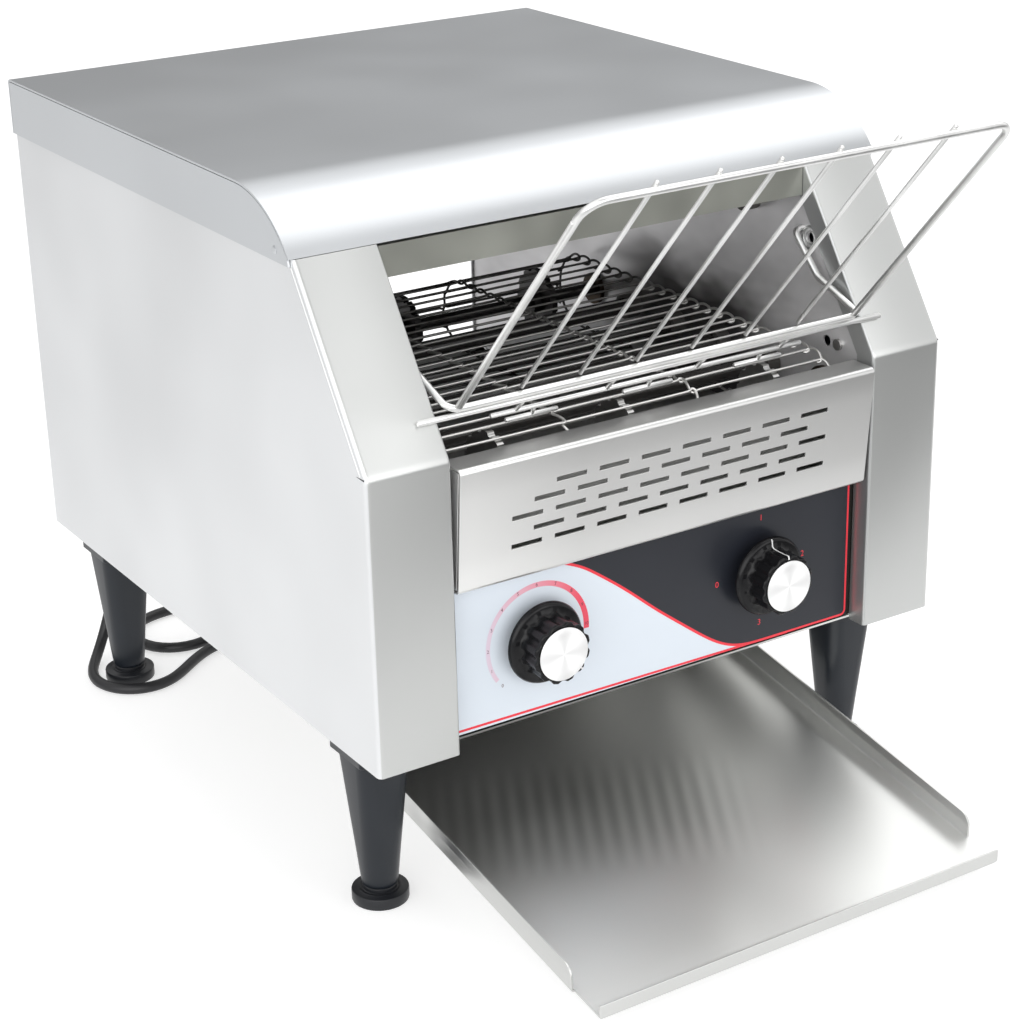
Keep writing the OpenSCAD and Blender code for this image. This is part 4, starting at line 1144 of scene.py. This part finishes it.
def belt_at(s):
    """(y, z) and the outward normal of the belt at s pitches from the front of the top."""
    s %= WIRES
    if s <= BELT_RUN:
        return Vector((0, BELT_FRONT + s * BELT_PITCH, BELT_Z + BELT_R)), Vector((0, 0, 1))
    if s <= BELT_RUN + HALF_TURN:
        return round_wheel(BELT_REAR, 90 - (s - BELT_RUN) * 360 / BELT_TEETH)
    if s <= 2 * BELT_RUN + HALF_TURN:
        y = BELT_REAR - (s - BELT_RUN - HALF_TURN) * BELT_PITCH
        return Vector((0, y, BELT_Z - BELT_R)), Vector((0, 0, -1))
    return round_wheel(BELT_FRONT, -90 - (s - 2 * BELT_RUN - HALF_TURN) * 360 / BELT_TEETH)


COLUMNS = (-48.0, 36.0)
WIRE_R = 0.8
# A wire's end: (inward from the belt's edge, pitches back, height), curling over the next wire
CURL = ((4.0, 0.0, 0.0), (1.4, -0.02, 0.3), (0.0, 0.08, 1.4), (-0.3, 0.42, 2.3),
        (0.0, 0.80, 2.0), (0.6, 1.08, 0.6), (1.6, 1.12, -0.9), (3.2, 1.02, -1.2),
        (4.4, 0.86, -0.4))
# A Z bend: (along the wire, leaves bay 0 for bay 1, pitches towards bay 1, height)
Z_BEND = ((-5.0, 0, 0.0, 0.0), (-2.2, 0, 0.0, 0.3), (-0.6, 0, -0.12, 0.9), (1.2, 0, -0.02, 0.8),
          (0.6, 0, 0.3, 0.3), (-0.6, 1, -0.3, -0.3), (-1.2, 1, 0.02, -0.8), (0.6, 1, 0.12, -0.9),
          (2.2, 1, 0.0, -0.3), (5.0, 1, 0.0, 0.0))


def strand(i):
    """One belt wire: straight bays joined by Z bends that hook round the next wire."""
    path = []

    def step(x, s, lift):
        place, out = belt_at(s)
        place = place + out * lift
        path.append((x, place.y, place.z))

    for inward, back, lift in CURL[::-1]:
        step(-BELT_HALF + inward, i - back, lift)
    bays = [i, i + 1]
    for column in COLUMNS:
        toward = bays[1] - bays[0]
        for offset, bay, ahead, lift in Z_BEND:
            step(column + offset, bays[bay] + ahead * toward, lift)
        bays.reverse()
    for inward, back, lift in CURL:
        step(BELT_HALF - inward, bays[0] - back, lift)
    return smooth_line(path, 3)


first = 0
for name, end in (("belt_upper_run", BELT_RUN + 1),
                  ("belt_rear_turn", BELT_RUN + HALF_TURN + 1),
                  ("belt_lower_run", 2 * BELT_RUN + HALF_TURN + 1),
                  ("belt_front_turn", WIRES)):
    wires = Mesh()
    for i in range(first, end):
        wires.add(*tube(strand(i), WIRE_R, 8))
    wires.make(f"{name}_wires", belt_wire, replaces=name, slot="belt_wire", smooth=70)
    first = end


# ---------- toast tray ----------

def floor_at(y):
    return TRAY_Z + TRAY_SLOPE * (y + TRAY_REACH)


WALL = 14.5
BEND = 2.2
NOSE_Y = -97.0
NOSE_R = 6
tray_columns = [(-TRAY_HALF, WALL), (-TRAY_HALF, WALL - 5), (-TRAY_HALF, BEND)]
tray_columns += [(-TRAY_HALF + BEND - BEND * math.cos(a), BEND - BEND * math.sin(a))
                 for a in (math.radians(18 * k) for k in range(1, 6))]
tray_columns += [(-127.5, 0.0), (-60.0, 0.0)]
tray_columns += [(0.0, 0.0)] + [(-x, h) for x, h in tray_columns[::-1]]
lip = rounded([(-100, floor_at(-100), 0), (-TRAY_REACH, TRAY_Z, 0),
               (-TRAY_REACH, TRAY_Z + 9, 0)], 2.2, 6)
tray_rows = [(p[0], p[1] - floor_at(p[0])) for p in lip[::-1][:-1]]
tray_rows += [(y, 0.0) for y in (-110, -97, -96.6, -95.6, -94.2, -92.4, -90.8, -60, 0, 100, 230)]
tray_rows = sorted(set(tray_rows), key=lambda r: (r[0], -r[1]))


def nose(y):
    """How far the wall's top is cut down by its rounded front corner."""
    back = y - NOSE_Y
    if back >= NOSE_R:
        return 0.0
    return NOSE_R - math.sqrt(max(NOSE_R ** 2 - (NOSE_R - back) ** 2, 0.0))


def tray_place(u, v):
    x, h = tray_columns[u]
    y, rise = tray_rows[v]
    if h > WALL - 6:
        h -= nose(y) * (1.0 if h == WALL else 0.35)
    if y < -105 and abs(x) > 131 and h == 0:
        x = math.copysign(131.2 if rise < 1.5 else 132.5, x)
    return (x, y, floor_at(y) + rise + h)


def before_wall(u, v):
    y = (tray_rows[v][0] + tray_rows[v + 1][0]) / 2
    h = max(tray_columns[u][1], tray_columns[u + 1][1])
    return y < NOSE_Y and h > 0


sheet_grid("tray_sheet", len(tray_columns), len(tray_rows), tray_place, before_wall,
           tray_steel, body="tray", replaces="toast_tray", slot="brushed_steel_tray",
           solid=-SHEET, bevel=0.28)
ears = Mesh()
for sign in (-1, 1):
    for low, high in (((132.3, 150, floor_at(150)), (133.5, 225, -24.0)),
                      ((132.3, 150, -25.2), (146.0, 225, -24.0))):
        verts, faces = box(low, high)
        ears.add([(sign * x, y, z) for x, y, z in verts], faces)
ears.make("tray_ears", tray_steel, body="tray", slot="brushed_steel_tray", bevel=0.3)


# ---------- floor, lights and world ----------

floor_mesh = bpy.data.meshes.new("floor")
FLOOR_HALF = 12.0
floor_mesh.from_pydata([(x * FLOOR_HALF, y * FLOOR_HALF, 0)
                        for x, y in ((-1, -1), (1, -1), (1, 1), (-1, 1))], [], [(0, 1, 2, 3)])
floor = add_object("floor", floor_mesh)
floor_paint = Paint("floor", (0.60, 0.60, 0.60), 0.9)
floor_paint.put("Specular IOR Level", 0.1)
mirrored_floor = floor_paint.node("ShaderNodeLightPath").outputs["Is Glossy Ray"]
floor_x, floor_y, _ = floor_paint.axes()
floor_paint.link(floor_paint.mix(
    mirrored_floor, floor_paint.color, (0.25, 0.25, 0.25, 1)
), "Base Color")
near = floor_paint.spread(floor_x, 0.70, 0.64, 0.0, 0.3)
beside = floor_paint.times(near, floor_paint.spread(floor_y, 1.0, 0.72, 0.25, 0.90))
far_front = floor_paint.spread(floor_x, 0.27, -0.16, 0.05, 0.65)
in_front = floor_paint.spread(floor_y, 1.0, 0.0, -0.52, -0.38)
level_seen = floor_paint.node("ShaderNodeMix", {
    "Factor": in_front, "A": beside, "B": far_front,
}).outputs[0]
strength = floor_paint.node("ShaderNodeMix", {
    "Factor": mirrored_floor, "A": 0.57, "B": level_seen,
}).outputs[0]
floor_paint.put("Emission Color", (1, 1, 1, 1))
floor_paint.link(strength, "Emission Strength")
floor_mesh.materials.append(floor_paint.material)

world = bpy.data.worlds.new("studio")
bpy.context.scene.world = world
world.use_nodes = True
sky = world.node_tree
background = sky.nodes["Background"]


def sky_node(kind, inputs=(), **settings):
    return new_node(sky, kind, inputs, **settings).outputs


def sky_spread(value, start, end, low, high):
    return sky_node("ShaderNodeMapRange", {
        "Value": value, "From Min": start, "From Max": end, "To Min": low, "To Max": high,
    }, clamp=True)[0]


toward = sky_node("ShaderNodeTexCoord")["Generated"]
heading = sky_node("ShaderNodeSeparateXYZ", {0: toward})
raised = sky_node("ShaderNodeMath", {0: heading[1], 1: -0.6, 2: heading[2]},
                  operation="MULTIPLY_ADD")[0]
gradient = sky_spread(raised, -0.115, 0.12, 0.31, 1.0)
# Changes of the sky's strength before the object: (axis, from, to, change at from, at to)
BANDS = (
    (0, -0.35, -0.15, 0.60, -0.40),
    (0, 0.08, 0.30, 0.0, 0.50),
    (0, 0.49, 0.60, 0.12, -1.10),
    (2, 0.60, 0.66, 0.72, -0.24),
    (2, 0.68, 0.70, 0.0, -0.22),
)
frontal = sky_spread(heading[1], -0.45, -0.10, 1.0, 0.0)
for axis, *band in BANDS:
    change = sky_spread(heading[axis], *band)
    gradient = sky_node("ShaderNodeMath", {0: change, 1: frontal, 2: gradient},
                        operation="MULTIPLY_ADD")[0]
seen = sky_node("ShaderNodeLightPath")
strength = gradient
for ray in ("Is Camera Ray", "Is Transmission Ray"):
    strength = sky_node("ShaderNodeMix", {"Factor": seen[ray], "A": strength, "B": 1.0})[0]
sky.links.new(strength, background.inputs["Strength"])
background.inputs["Color"].default_value = (1, 1, 1, 1)


lamp = bpy.data.lights.new("overhead", "AREA")
lamp.shape = "RECTANGLE"
lamp.size, lamp.size_y = 1.8, 1.6
lamp.energy = 8
overhead = add_object("overhead", lamp)
overhead.location = (1.1, 0.1, 2.0)
aim = Vector((0.0, 0.0, 0.2)) - Vector((1.1, 0.1, 2.0))
overhead.rotation_euler = aim.to_track_quat("-Z", "Y").to_euler()
